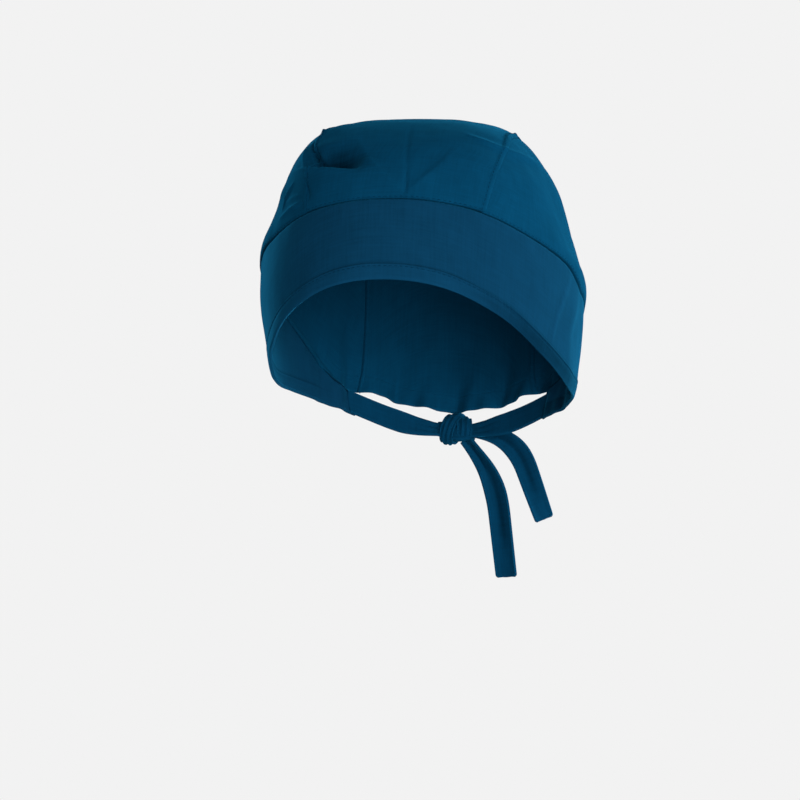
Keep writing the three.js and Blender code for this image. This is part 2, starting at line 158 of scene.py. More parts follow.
FOLDS = (
    Fold(
        "tuck_ridge",
        ((-68, 0.818), (-55, 0.829), (-48, 0.837), (-36.5, 0.846), (-26, 0.85), (-14, 0.849)),
        1.5, 1.2, 5.5, Rib.CREASED, 0.1, 0.3,
    ),
    Fold(
        "tuck_pocket", ((-44, 0.862), (-34, 0.865), (-23, 0.864), (-13, 0.859)),
        -6.2, 7.5, 2.6, tips=0.2, tone=-2.0,
    ),
    Fold("tuck_shade", ((-41, 0.885), (-29, 0.889), (-16, 0.887)), -2.3, 8.0, 5.0, tips=0.5, tone=-1.3),
    Fold("tuck_roll", ((-53, 0.902), (-40.5, 0.915), (-29, 0.932)), 1.5, 5.0, 3.0),
    Fold("right_shoulder", ((-49.5, 0.966), (-64, 0.974)), 1.2, 9.0, 8.0, tips=0.8),
    Fold("tuck_corner", ((-49, 0.897), (-41.5, 0.873), (-37, 0.853)), -2.0, 1.6, 1.6, tips=0.8, tone=-0.8),
    Fold(
        "upper_seam_crease", ((-58.5, 0.917), (-48.5, 0.888), (-40.5, 0.858), (-37, 0.849)),
        -1.5, 1.0, 1.0, Rib.CREASED, 0.6, -1.5,
    ),
    Fold(
        "upper_seam_edge", ((-53, 0.921), (-46, 0.896), (-41, 0.87)),
        -0.9, 0.9, 0.9, Rib.CREASED, tone=-0.5,
    ),
    Fold(
        "upper_side_ridge", ((-67, 0.912), (-57, 0.873), (-50, 0.843)),
        1.2, 2.0, 2.0, Rib.CREASED, tone=0.2,
    ),
    Fold(
        "lower_seam_crease", ((-43.5, 0.823), (-42, 0.797), (-39, 0.77), (-37, 0.748), (-37.3, 0.733)),
        -1.0, 0.75, 0.75, Rib.CREASED, tone=-0.8,
    ),
    Fold("side_line", ((-57.5, 0.693), (-57, 0.743), (-54, 0.787)), 1.1, 1.5, 1.5, Rib.CREASED, tone=0.2),
    Fold(
        "side_ridge_high", ((-56, 0.72), (-49, 0.738), (-42, 0.752)),
        0.6, 1.6, 2.6, Rib.CREASED, tone=0.2,
    ),
    Fold(
        "side_ridge_low", ((-57, 0.66), (-49, 0.698), (-43.5, 0.718), (-40, 0.73)),
        1.3, 1.6, 2.4, Rib.CREASED, tone=0.3,
    ),
    Fold("side_drape", ((-70, 0.724), (-63, 0.772)), 1.0, 5.0, 5.0),
    Fold(
        "top_ridge", ((42.5, 0.954), (54, 0.927), (66, 0.897), (81, 0.866), (97, 0.83)),
        1.5, 2.6, 1.5, Rib.CREASED, tone=0.3,
    ),
    Fold("top_hollow", ((44, 0.932), (65.5, 0.871), (85, 0.84)), -1.1, 3.5, 6.0),
    Fold("brow_crease", ((5.5, 0.853), (6, 0.812), (6, 0.768)), -0.9, 0.9, 0.9, Rib.CREASED, tone=-0.3),
    Fold("middle_press", ((3.5, 0.986), (4.5, 0.922), (6, 0.843)), -0.5, 1.2, 1.2, tone=-0.2),
    Fold("brow_drape_right", ((4, 0.782), (-5.5, 0.854), (-17, 0.927)), 1.2, 2.0, 7.0, Rib.CREASED),
    Fold("brow_drape_left", ((8, 0.782), (15.5, 0.833), (27, 0.902)), 1.0, 2.0, 7.0, Rib.CREASED),
    Fold("left_seam_puff", ((70, 0.58), (92, 0.45), (112, 0.33)), 2.2, 8.0, 9.0),
    Fold("left_side_hollow", ((84, 0.62), (118, 0.6)), -1.0, 13.0, 13.0),
    Fold("right_seam_puff", ((-61, 0.621), (-104, 0.38)), 2.5, 10.0, 11.0),
    Fold(
        "band_ridge", ((79.5, 0.45), (73, 0.395), (67.5, 0.33), (65, 0.255)),
        1.3, 0.6, 1.5, Rib.CREASED, 0.5, 1.0,
    ),
    Fold("band_swell", ((86, 0.4), (78, 0.26), (80, 0.14)), 1.3, 8.0, 6.0, tips=0.5),
    Fold("ear_bulge", ((92, 0.33), (104, 0.12)), 1.3, 9.0, 9.0),
    Fold("left_crown_swell", ((104, 0.82), (102, 0.7), (101, 0.58)), 1.8, 14.0, 14.0),
    Fold("right_nub", ((-65.5, 0.955), (-64.5, 0.955)), 1.1, 1.3, 1.3, tips=0.8),
    Fold("left_nub", ((103, 0.942), (104, 0.942)), 1.0, 1.2, 1.2, tips=0.8),
    Fold("right_limb_dent", ((-79, 0.8), (-79, 0.72)), -1.0, 6.0, 6.0),
)

SEAM_TUGS = {
    Side.RIGHT: (
        Tug(36, 0.5),
        Tug(40, 0.2),
        Tug(44, -0.5),
        Tug(48, -1.0),
        Tug(52, -1.2),
        Tug(56, -2.2),
        Tug(60, 1.4),
        Tug(64, -0.4),
        Tug(68, -1.7),
        Tug(72, -1.4),
        Tug(76, -0.2),
        Tug(80, 0),
    ),
    Side.LEFT: (
        Tug(38, -3.5),
        Tug(44, -2.2),
        Tug(48, -1.5),
        Tug(52, -0.8),
        Tug(56, -0.2),
        Tug(60, 0.6),
        Tug(64, 1.2),
        Tug(68, 1.6),
        Tug(72, 1.6),
        Tug(76, 1.4),
        Tug(80, 1.0),
        Tug(84, 0.5),
        Tug(88, 0),
    ),
}


@dataclass
class CapForm:
    """The smooth form of the cap's outside, in millimetres."""

    crown_height: float = 146.0
    half_width: float = 83.0
    front_reach: float = 96.0
    back_reach: float = 99.0
    crown_lean: float = 3.4
    band_height: float = 47.0
    tie_width: float = 13.0
    band_end_angle: float = 138.0
    band_lean: float = 1.4
    seam_gap: float = 0.35
    crown_under: float = 2.6
    back_hem_gap: float = 4.0
    panel_half_width: float = 48.0
    tug_reach: float = 16.0
    ear_kink: float = 1.8
    ear_kink_angle: float = 87.0
    ear_kink_width: float = 5.0
    core_share: float = 0.3
    lean_start: float = 0.38
    halvings: int = 26

    @property
    def core(self) -> Points:
        """The point that every ray to the surface starts level with."""
        return np.array([0.0, 0.0, self.core_share * self.crown_height])

    @staticmethod
    def smooth(places: Points, values: Points, at: Points) -> Points:
        """Reads a table's column on a smooth curve through its rows.

        Args:
            places: where the rows are, rising.
            values: the column's value in each row.
            at: the places to read.

        Returns:
            The values there, level beyond the first and last row.
        """
        at = np.clip(at, places[0], places[-1])
        i = np.clip(np.searchsorted(places, at, side="right") - 1, 0, len(places) - 2)
        slopes = np.empty_like(values)
        slopes[1:-1] = (values[2:] - values[:-2]) / (places[2:] - places[:-2])
        slopes[0] = (values[1] - values[0]) / (places[1] - places[0])
        slopes[-1] = (values[-1] - values[-2]) / (places[-1] - places[-2])
        span = places[i + 1] - places[i]
        t = (at - places[i]) / span
        t2, t3 = t * t, t**3
        return (
            (2 * t3 - 3 * t2 + 1) * values[i]
            + (t3 - 2 * t2 + t) * span * slopes[i]
            + (3 * t2 - 2 * t3) * values[i + 1]
            + (t3 - t2) * span * slopes[i + 1]
        )

    def sections(self, z: Points) -> tuple[Points, Points, Points, Points, Points]:
        """Reads the level sections' sizes.

        Args:
            z: the heights, in millimetres.

        Returns:
            The half width, the reach in front and behind, the oval's exponent and the lean to the side.
        """
        share = z / self.crown_height
        heights = np.array([s.height for s in SECTIONS])

        def size(column: str, full: float) -> Points:
            """Returns a size in millimetres, smoothed by its square so that the top closes round."""
            squares = np.array([getattr(s, column) ** 2 for s in SECTIONS])
            return full * np.sqrt(np.maximum(self.smooth(heights, squares, share), 1e-6))

        square = self.smooth(heights, np.array([s.square for s in SECTIONS]), share)
        lean = -self.crown_lean * np.clip((share - self.lean_start) / (1 - self.lean_start), -1, 1)
        return (
            size("width", self.half_width),
            size("front", self.front_reach),
            size("back", self.back_reach),
            square,
            lean,
        )

    def around(self, angle: Points, z: Points) -> Points:
        """Finds points on the form.

        Args:
            angle: the angles from the brow, in degrees.
            z: the heights.

        Returns:
            The points.
        """
        angle, z = np.broadcast_arrays(np.asarray(angle, float), np.asarray(z, float))
        width, front, back, square, lean = self.sections(z)
        sine, cosine = np.sin(np.radians(angle)), np.cos(np.radians(angle))
        x = lean + width * np.sign(sine) * np.abs(sine) ** (2 / square)
        y = -np.where(cosine > 0, front, back) * np.sign(cosine) * np.abs(cosine) ** (2 / square)
        return np.stack([x, y, z], axis=-1)

    def along_ray(self, start: Points, direction: Points) -> Points:
        """Finds where rays that start inside the form leave it.

        Args:
            start: the points that the rays start from.
            direction: the rays' unit directions.

        Returns:
            The points on the form.
        """
        low = np.zeros(direction.shape[:-1])
        high = np.full(direction.shape[:-1], self.crown_height + self.back_reach)
        for _ in range(self.halvings):
            middle = (low + high) / 2
            at = start + direction * middle[..., None]
            width, front, back, square, lean = self.sections(at[..., 2])
            length = np.where(at[..., 1] < 0, front, back)
            oval = (
                np.abs((at[..., 0] - lean) / width) ** square + np.abs(at[..., 1] / length) ** square
            )
            inside = (oval < 1) & (at[..., 2] < self.crown_height)
            low, high = np.where(inside, middle, low), np.where(inside, high, middle)
        return start + direction * low[..., None]

    def over(self, x: Points, lift: Points) -> Points:
        """Finds points over the head in lengthwise planes.

        Args:
            x: how far left of the middle each plane is.
            lift: the angle over the head, from 0 at the brow to 180 at the back.

        Returns:
            The points on the form.
        """
        x, lift = np.broadcast_arrays(np.asarray(x, float), np.radians(np.asarray(lift, float)))
        direction = np.stack([np.zeros_like(x), -np.cos(lift), np.sin(lift)], axis=-1)
        start = np.stack([x, np.zeros_like(x), np.full_like(x, self.core[2])], axis=-1)
        return self.along_ray(start, direction)

    def _edge(self, column: str, angle: Points) -> Points:
        """Reads a column of the band's edges.

        Args:
            column: the column's name.
            angle: the angles from the brow, in degrees.

        Returns:
            The column's shares there.
        """
        angles = np.array([float(row.angle) for row in BAND_EDGES])
        values = np.array([float(getattr(row, column)) for row in BAND_EDGES])
        return self.smooth(angles, values, np.abs(np.asarray(angle, float)))

    def hem(self, angle: Points) -> Points:
        """Returns the height of the band's lower edge."""
        return self.crown_height * self._edge("hem", angle)

    def band_top(self, angle: Points) -> Points:
        """Finds the band's upper edge, which is the tie's behind the ears.

        Args:
            angle: the angles from the brow, in degrees.

        Returns:
            The edge's heights.
        """
        height = self.band_height * self._edge("band", angle) + self.tie_width * self._edge("tie", angle)
        kink = self.ear_kink * bump(np.asarray(angle, float) - self.ear_kink_angle, self.ear_kink_width)
        return self.hem(angle) + height - kink + self.band_lean * np.sin(np.radians(angle))

    def crown_edge(self, angle: Points) -> Points:
        """Finds the crown's lower edge, sewn in front and free over the ties behind.

        Args:
            angle: the angles from the brow, in degrees.

        Returns:
            The edge's heights.
        """
        behind = ease(np.abs(angle), self.band_end_angle - 14, self.band_end_angle + 12)
        sewn = self.band_top(angle) - self.crown_under * (1 - behind)
        return sewn + (self.back_hem_gap + self.seam_gap / 2) * behind

    def tugged(self, x: Points, lift: Points) -> Points:
        """Moves lengthwise lines by the tugs on the two seams, which fade over the cloth beside them.

        Args:
            x: how far left of the middle each line is.
            lift: the angle over the head, in degrees.

        Returns:
            The lines' moved places.
        """
        moved = x
        for side, tugs in SEAM_TUGS.items():
            lifts = np.array([float(row.lift) for row in tugs])
            shifts = np.array([float(row.shift) for row in tugs])
            share = bump(x - side.value * self.panel_half_width, self.tug_reach)
            moved = moved + share * self.smooth(lifts, shifts, lift)
        return moved

    def edge_angle(self, x: float, behind: bool) -> float:
        """Finds where the crown's edge crosses a lengthwise plane.

        Args:
            x: how far left of the middle the plane is.
            behind: whether to look at the nape.

        Returns:
            The angle from the brow, in degrees.
        """
        side = 1.0 if x >= 0 else -1.0
        low, high = -20.0, 85.0
        for _ in range(30):
            middle = (low + high) / 2
            angle = side * (180 - middle if behind else middle)
            at = self.around(np.array(angle), self.crown_edge(np.array(angle)))
            if side * at[0] < abs(x):
                low = middle
            else:
                high = middle
        return side * (180 - low if behind else low)


def ease(value: Points, start: float, end: float) -> Points:
    """Returns 0 before start and 1 after end, with a smooth change between them."""
    t = np.clip((np.asarray(value, float) - start) / (end - start), 0, 1)
    return t * t * (3 - 2 * t)


def bump(distance: Points, width: float) -> Points:
    """Returns a rounded bump that is 1 at no distance and fades over a width."""
    return np.exp(-((distance / width) ** 2))


def normals_of(points: Points) -> Points:
    """Finds the normals of a grid of points, turned away from the cap's inside.

    Args:
        points: the grid.

    Returns:
        The unit normals.
    """
    normal = np.cross(np.gradient(points, axis=0), np.gradient(points, axis=1))
    normal /= np.maximum(np.linalg.norm(normal, axis=-1, keepdims=True), 1e-9)
    outward = points - np.array([0, 0, INSIDE_HEIGHT])
    flip = np.sign(np.sum(normal * outward, axis=-1, keepdims=True))
    return normal * np.where(flip == 0, 1, flip)


@dataclass
class FoldField:
    """Lifts the cloth by its folds, gathers and small wrinkles."""

    form: CapForm
    gather_count: int = 10
    gather_depth: float = 3.1
    gather_reach: float = 56.0
    wrinkle_depth: float = 0.5
    wrinkle_size: float = 26.0
    wrinkle_stretch: float = 1.5
    path_steps: int = 9
    sight: float = 3.2
    fold_depth: float = 22.0

    def rise(self, points: Points, normals: Points) -> Points:
        """Adds up all that lifts the cloth.

        Args:
            points: the cloth's points on the form.
            normals: their normals.

        Returns:
            How far each point is lifted along its normal, in millimetres.
        """
        total = self._gathers(points) + self._wrinkles(points)
        for fold in FOLDS:
            total = total + self._fold(fold, points, normals)
        return total

    def shade(self, points: Points, normals: Points) -> Points:
        """Finds the tone that the folds paint into the cloth: paler on their crests, painted shade in their
        dents.

        Args:
            points: the cloth's points on the form.
            normals: their normals.

        Returns:
            How much paler each point is painted. Below 0 is painted shade.
        """
        total = np.zeros(points.shape[:-1])
        for fold in FOLDS:
            if fold.tone:
                total = total + fold.tone * self._fold(fold, points, normals) / fold.rise
        return total

    def _fold(self, fold: Fold, points: Points, normals: Points) -> Points:
        """Finds the lift that one fold gives, worked out only near its path.

        Args:
            fold: the fold.
            points: the cloth's points on the form.
            normals: their normals.

        Returns:
            The lift of each point, in millimetres.
        """
        places = np.array(fold.path, float)
        rows = np.arange(len(places), dtype=float)
        at = np.linspace(0, rows[-1], 1 + self.path_steps * (len(places) - 1))
        angle = self.form.smooth(rows, places[:, 0], at)
        share = self.form.smooth(rows, places[:, 1], at)
        path = self.form.around(angle, share * self.form.crown_height)
        steps = np.linalg.norm(np.diff(path, axis=0), axis=-1)
        run = np.concatenate([[0], np.cumsum(steps)])
        tangent = np.gradient(path, axis=0)
        tangent /= np.linalg.norm(tangent, axis=-1, keepdims=True)
        reach = self.sight * max(fold.above, fold.below)
        low, high = path.min(axis=0) - reach, path.max(axis=0) + reach
        near = np.all((points > low) & (points < high), axis=-1)
        out = np.zeros(points.shape[:-1])
        if not near.any():
            return out
        spot, up = points[near], normals[near]
        nearest = np.argmin(np.linalg.norm(spot[:, None] - path[None], axis=-1), axis=1)
        apart, along = spot - path[nearest], tangent[nearest]
        slide = np.sum(apart * along, axis=-1)
        place = run[nearest] + slide
        beyond = np.maximum(-place, 0) + np.maximum(place - run[-1], 0)
        depth = np.sum(apart * up, axis=-1)
        across = np.cross(up, along)
        across *= np.sign(across[:, 2:3] + 1e-12)
        signed = np.sum(apart * across, axis=-1)
        away = np.hypot(signed, beyond) / np.where(signed > 0, fold.above, fold.below)
        if fold.rib is Rib.CREASED:
            profile = np.exp(-np.maximum(away * 1.25 + 0.12 * np.exp(-away * 6) - 0.12, 0) ** 1.25)
        else:
            profile = np.exp(-(away**2))
        whole = np.clip(place / run[-1], 0.0, 1.0)
        fade = fold.tips + (1 - fold.tips) * np.sin(math.pi * whole) ** 0.8
        out[near] = fold.rise * fade * profile * bump(depth, self.fold_depth)
        return out

    def _gathers(self, points: Points) -> Points:
        """Finds the lift of the gathers that rise from the nape's hem and fade up the crown.

        Args:
            points: the cloth's points on the form.

        Returns:
            The lift of each point, in millimetres.
        """
        angle = np.degrees(np.arctan2(points[..., 0], -points[..., 1]))
        behind = ease(np.abs(angle), 112, 150)
        above = np.clip((points[..., 2] - self.form.crown_edge(angle)) / self.gather_reach, 0, 1)
        wave = np.cos((np.radians(angle) + math.pi) * 2 * self.gather_count)
        sway = 1.7 * np.sin(points[..., 2] / 9)
        fine = 0.35 * np.cos((np.radians(angle) + 2.2) * 5 * self.gather_count + sway)
        return self.gather_depth * behind * (1 - above) ** 2 * (0.6 + wave + fine * (1 - above) ** 3)

    def _wrinkles(self, points: Points) -> Points:
        """Finds the lift of the small wrinkles all over.

        Args:
            points: the cloth's points on the form.

        Returns:
            The lift of each point, in millimetres.
        """
        flat = points.reshape(-1, 3)
        out = np.empty(len(flat))
        size = self.wrinkle_size
        for i, (x, y, z) in enumerate(flat):
            at = Vector((x / size, y / size, z / (size * self.wrinkle_stretch)))
            out[i] = noise.fractal(at, 1.0, 2.1, 3)
        return self.wrinkle_depth * out.reshape(points.shape[:-1])


# Cloth laid on the form


@dataclass
class Laid:
    """A grid of cloth on the form, with each point's distances along the cloth to its four edges."""

    points: Points
    normals: Points
    to_low: Points
    to_high: Points
    to_first: Points
    to_last: Points

    def lifted(self, rise: Points) -> "Laid":
        """Returns the grid lifted along its normals, with new normals."""
        points = self.points + self.normals * rise[..., None]
        return Laid(points, normals_of(points), self.to_low, self.to_high, self.to_first, self.to_last)

    def line(self, along: Callable[["Laid"], Points], target: float) -> tuple[Points, Points]:
        """Follows the line at a set distance from the low or high edge, one point to a column.

        Args:
            along: picks the table of distances.
            target: the distance in millimetres.

        Returns:
            The line's points and normals.
        """
        table = along(self)
        points, normals = [], []
        for j in range(table.shape[1]):
            column = table[:, j]
            order = np.argsort(column)
            where = np.interp(target, column[order], order.astype(float))
            i = int(min(math.floor(where), table.shape[0] - 2))
            t = where - i
            points.append(self.points[i, j] * (1 - t) + self.points[i + 1, j] * t)
            normals.append(self.normals[i, j] * (1 - t) + self.normals[i + 1, j] * t)
        return np.array(points), np.array(normals)

    def turned(self) -> "Laid":
        """Returns the same cloth with its rows and columns swapped."""
        grids = (self.points, self.normals, self.to_first, self.to_last, self.to_low, self.to_high)
        return Laid(*(np.swapaxes(grid, 0, 1) for grid in grids))


def lay(surface: Callable[[Points, Points], Points], columns: Points, rows: "Stations") -> Laid:
    """Lays a grid on a surface of two shares, with rows at true distances up each column.

    Args:
        surface: gives points at shares along and up the piece.
        columns: the shares along at which the columns stand.
        rows: how the rows are spaced.

    Returns:
        The grid, with its first axis up the piece and its second along it.
    """
    samples = np.linspace(0, 1, 240)
    dense = surface(columns[None, :], samples[:, None])
    steps = np.linalg.norm(np.diff(dense, axis=0), axis=-1)
    run = np.vstack([np.zeros((1, len(columns))), np.cumsum(steps, axis=0)])
    up = np.empty((rows.count, len(columns)))
    distance = np.empty_like(up)
    for j in range(len(columns)):
        distance[:, j] = rows.at(run[-1, j])
        up[:, j] = np.interp(distance[:, j], run[:, j], samples)
    points = surface(np.broadcast_to(columns[None, :], up.shape), up)
    length = np.linalg.norm(np.diff(points, axis=1), axis=-1)
    along = np.hstack([np.zeros((len(points), 1)), np.cumsum(length, axis=1)])
    to_high = run[-1][None, :] - distance
    return Laid(points, normals_of(points), distance, to_high, along, along[:, -1:] - along)


@dataclass(frozen=True)
class Stations:
    """Where rows stand: at set distances from both edges, and between them evenly or crowded low."""

    low: tuple[float, ...]
    high: tuple[float, ...]
    between: int
    crowding: float = 0.0

    @property
    def count(self) -> int:
        """How many rows there are."""
        return len(self.low) + len(self.high) + self.between

    def at(self, length: float) -> Points:
        """Spaces the rows on one column.

        Args:
            length: the column's length, in millimetres.

        Returns:
            The rows' distances from its low end.
        """
        reach = self.low[-1] + self.high[-1]
        scale = min(1.0, 0.8 * length / reach) if reach > 0 else 1.0
        low = np.array(self.low) * scale
        high = length - np.array(self.high[::-1]) * scale
        share = np.linspace(0, 1, self.between + 2)[1:-1]
        share = (1 - self.crowding) * share + self.crowding * share**2.2
        middle = low[-1] + (high[0] - low[-1]) * share
        return np.concatenate([low, middle, high])


EDGE_ROWS = (0.0, 0.25, 0.6, 1.0, 1.6, 2.3, 3.1)
UNDER_ROWS = (0.0, 1.0, 1.5, 1.8, 2.1, 2.35, 2.6, 2.85, 3.1, 3.5, 4.0, 4.6, 5.4)


# Finishes


@dataclass(frozen=True)
class ClothFinish:
    """A matt plain-weave cloth. Colours are linear, and the thread pitch is in millimetres."""

    name: str
    colour: tuple[float, float, float]
    roughness: float = 0.95
    sheen: float = 0.14
    sheen_tint: tuple[float, float, float] = (0.03, 0.5, 0.95)
    thread_pitch: float = 0.42
    weave_depth: float = 0.22
    slub: float = 0.42
    # How strongly wear pales the cloth and painted shade darkens it.
    wear_and_shade_amount: float = 0.25

    def material(self, shared: "SharedNodes") -> bpy.types.Material:
        """Builds the node material.

        Args:
            shared: the node groups that all cloths use.

        Returns:
            The material.
        """
        made = bpy.data.materials.new(self.name)
        made.use_nodes = True
        tree = made.node_tree
        tree.nodes.clear()
        out = tree.nodes.new("ShaderNodeOutputMaterial")
        skin = tree.nodes.new("ShaderNodeBsdfPrincipled")
        skin.inputs["Sheen Weight"].default_value = self.sheen
        skin.inputs["Sheen Roughness"].default_value = 0.4
        skin.inputs["Sheen Tint"].default_value = (*self.sheen_tint, 1)
        skin.inputs["Specular IOR Level"].default_value = 0.0
        weave = tree.nodes.new("ShaderNodeGroup")
        weave.node_tree = shared.weave
        weave.inputs["Thread pitch"].default_value = self.thread_pitch * MM
        weave.inputs["Slub"].default_value = self.slub
        cloth_map = tree.nodes.new("ShaderNodeUVMap")
        cloth_map.uv_map = "cloth"
        # Wear and painted shade scale the cloth's colour and roughness here.
        wear_and_shade_group = tree.nodes.new("ShaderNodeGroup")
        wear_and_shade_group.node_tree = shared.wear_and_shade_group
        wear_and_shade_group.inputs["Colour"].default_value = (*self.colour, 1)
        wear_and_shade_group.inputs["Amount"].default_value = self.wear_and_shade_amount
        wear_and_shade_group.inputs["Roughness"].default_value = self.roughness
        relief = tree.nodes.new("ShaderNodeBump")
        relief.inputs["Strength"].default_value = self.weave_depth
        relief.inputs["Distance"].default_value = 0.12 * MM
        link = tree.links.new
        link(cloth_map.outputs["UV"], weave.inputs["Cloth"])
        link(weave.outputs["Tint"], wear_and_shade_group.inputs["Tint"])
        link(wear_and_shade_group.outputs["Colour"], skin.inputs["Base Color"])
        link(wear_and_shade_group.outputs["Roughness"], skin.inputs["Roughness"])
        link(weave.outputs["Height"], relief.inputs["Height"])
        link(relief.outputs["Normal"], skin.inputs["Normal"])
        link(skin.outputs["BSDF"], out.inputs["Surface"])
        return made


@dataclass(frozen=True)
class ThreadFinish:
    """Spun polyester sewing thread, with its twist as a bump."""

    name: str
    colour: tuple[float, float, float]
    roughness: float = 0.6

    def material(self) -> bpy.types.Material:
        """Builds the node material.

        Returns:
            The material.
        """
        made = bpy.data.materials.new(self.name)
        made.use_nodes = True
        tree = made.node_tree
        skin = tree.nodes["Principled BSDF"]
        skin.inputs["Roughness"].default_value = self.roughness
        skin.inputs["Specular IOR Level"].default_value = 0.0
        place = tree.nodes.new("ShaderNodeTexCoord")
        spots = tree.nodes.new("ShaderNodeTexNoise")
        spots.inputs["Scale"].default_value = 900
        spots.inputs["Detail"].default_value = 1
        ramp = tree.nodes.new("ShaderNodeValToRGB")
        ramp.color_ramp.elements[0].color = (*[c * 0.75 for c in self.colour], 1)
        ramp.color_ramp.elements[1].color = (*[c * 1.25 for c in self.colour], 1)
        relief = tree.nodes.new("ShaderNodeBump")
        relief.inputs["Strength"].default_value = 0.4
        relief.inputs["Distance"].default_value = 0.1 * MM
        link = tree.links.new
        link(place.outputs["Object"], spots.inputs["Vector"])
        link(spots.outputs["Fac"], ramp.inputs["Fac"])
        link(ramp.outputs["Color"], skin.inputs["Base Color"])
        link(spots.outputs["Fac"], relief.inputs["Height"])
        link(relief.outputs["Normal"], skin.inputs["Normal"])
        return made


@dataclass
class SharedNodes:
    """The node groups that every cloth shares."""

    weave: bpy.types.NodeTree = field(init=False)
    wear_and_shade_group: bpy.types.NodeTree = field(init=False)

    def __post_init__(self) -> None:
        """Builds both groups."""
        self.weave = self._weave()
        self.wear_and_shade_group = self._wear_and_shade_group()

    @staticmethod
    def _group(
        name: str, inputs: dict[str, tuple[str, float]], outputs: dict[str, str]
    ) -> bpy.types.NodeTree:
        """Starts a group with its sockets.

        Args:
            name: the group's name.
            inputs: each input's kind and value.
            outputs: each output's kind.

        Returns:
            The group, still without nodes.
        """
        tree = bpy.data.node_groups.new(name, "ShaderNodeTree")
        for label, (kind, default) in inputs.items():
            socket = tree.interface.new_socket(label, in_out="INPUT", socket_type=kind)
            if kind == "NodeSocketFloat":
                socket.default_value = default
        for label, kind in outputs.items():
            tree.interface.new_socket(label, in_out="OUTPUT", socket_type=kind)
        return tree

    def _weave(self) -> bpy.types.NodeTree:
        """Builds the plain weave: crossed threads, uneven yarn and soft mottling.

        Returns:
            The group.
        """
        tree = self._group(
            "plain_weave",
            {
                "Cloth": ("NodeSocketVector", 0),
                "Thread pitch": ("NodeSocketFloat", 0.0004),
                "Slub": ("NodeSocketFloat", 0.1),
            },
            {"Height": "NodeSocketFloat", "Tint": "NodeSocketFloat"},
        )
        get = tree.nodes.new("NodeGroupInput")
        give = tree.nodes.new("NodeGroupOutput")
        link = tree.links.new

        def math_node(operation: str, a: object, b: object = None) -> bpy.types.NodeSocket:
            """Adds a math node.

            Args:
                operation: what it works out.
                a: the first number or socket.
                b: the second, or nothing.

            Returns:
                The result's socket.
            """
            node = tree.nodes.new("ShaderNodeMath")
            node.operation = operation
            for socket, value in zip(node.inputs, (a, b)):
                if isinstance(value, (int, float)):
                    socket.default_value = value
                elif value is not None:
                    link(value, socket)
            return node.outputs[0]

        split = tree.nodes.new("ShaderNodeSeparateXYZ")
        link(get.outputs["Cloth"], split.inputs["Vector"])
        turn = math_node("DIVIDE", math.pi, get.outputs["Thread pitch"])
        across = math_node("SINE", math_node("MULTIPLY", split.outputs["X"], turn))
        along = math_node("SINE", math_node("MULTIPLY", split.outputs["Y"], turn))
        crossing = math_node("MULTIPLY", across, along)
        link(math_node("ADD", math_node("MULTIPLY", crossing, 0.5), 0.5), give.inputs["Height"])

        def yarn(name: str, scale: tuple[float, float, float], size: float) -> bpy.types.NodeSocket:
            """Adds unevenness that is drawn out along the yarn.

            Args:
                name: the name of its mapping node.
                scale: how much it is drawn out in each direction.
                size: how fine it is.

            Returns:
                The socket of a value round 0.
            """
            stretch = tree.nodes.new("ShaderNodeMapping")
            stretch.name = name
            stretch.inputs["Scale"].default_value = scale
            spots = tree.nodes.new("ShaderNodeTexNoise")
            spots.inputs["Scale"].default_value = size
            spots.inputs["Detail"].default_value = 3
            spots.inputs["Roughness"].default_value = 0.6
            link(get.outputs["Cloth"], stretch.inputs["Vector"])
            link(stretch.outputs["Vector"], spots.inputs["Vector"])
            return math_node("SUBTRACT", spots.outputs["Fac"], 0.5)

        warp = yarn("warp slubs", (1, 0.05, 1), 900)
        weft = yarn("weft slubs", (0.05, 1, 1), 900)
        mottle = yarn("dye mottling", (1, 1, 1), 55)
        mixed = math_node("ADD", math_node("ADD", warp, weft), math_node("MULTIPLY", mottle, 0.8))
        link(math_node("ADD", math_node("MULTIPLY", mixed, get.outputs["Slub"]), 1.0), give.inputs["Tint"])
        return tree

    def _wear_and_shade_group(self) -> bpy.types.NodeTree:
        """Builds wear and painted shade: cloth a little paler and smoother where proud, darker in folds and
        seams.

        Returns:
            The group.
        """
        tree = self._group(
            "wear_and_painted_shade",
            {
                "Colour": ("NodeSocketColor", 0),
                "Tint": ("NodeSocketFloat", 1.0),
                "Amount": ("NodeSocketFloat", 0.2),
                "Roughness": ("NodeSocketFloat", 0.85),
            },
            {"Colour": "NodeSocketColor", "Roughness": "NodeSocketFloat"},
        )
        get = tree.nodes.new("NodeGroupInput")
        give = tree.nodes.new("NodeGroupOutput")
        link = tree.links.new
        wear_and_shade = tree.nodes.new("ShaderNodeAttribute")
        wear_and_shade.attribute_name = "wear_and_shade"
        worn_and_shaded = tree.nodes.new("ShaderNodeMath")
        worn_and_shaded.operation = "MULTIPLY"
        link(wear_and_shade.outputs["Fac"], worn_and_shaded.inputs[0])
        link(get.outputs["Amount"], worn_and_shaded.inputs[1])
        lighter = tree.nodes.new("ShaderNodeMath")
        lighter.operation = "ADD"
        link(worn_and_shaded.outputs[0], lighter.inputs[0])
        link(get.outputs["Tint"], lighter.inputs[1])
        tinted = tree.nodes.new("ShaderNodeVectorMath")
        tinted.operation = "SCALE"
        link(get.outputs["Colour"], tinted.inputs[0])
        link(lighter.outputs[0], tinted.inputs["Scale"])
        link(tinted.outputs["Vector"], give.inputs["Colour"])
        smoother = tree.nodes.new("ShaderNodeMath")
        smoother.operation = "SUBTRACT"
        link(get.outputs["Roughness"], smoother.inputs[0])
        link(worn_and_shaded.outputs[0], smoother.inputs[1])
        link(smoother.outputs[0], give.inputs["Roughness"])
        return tree


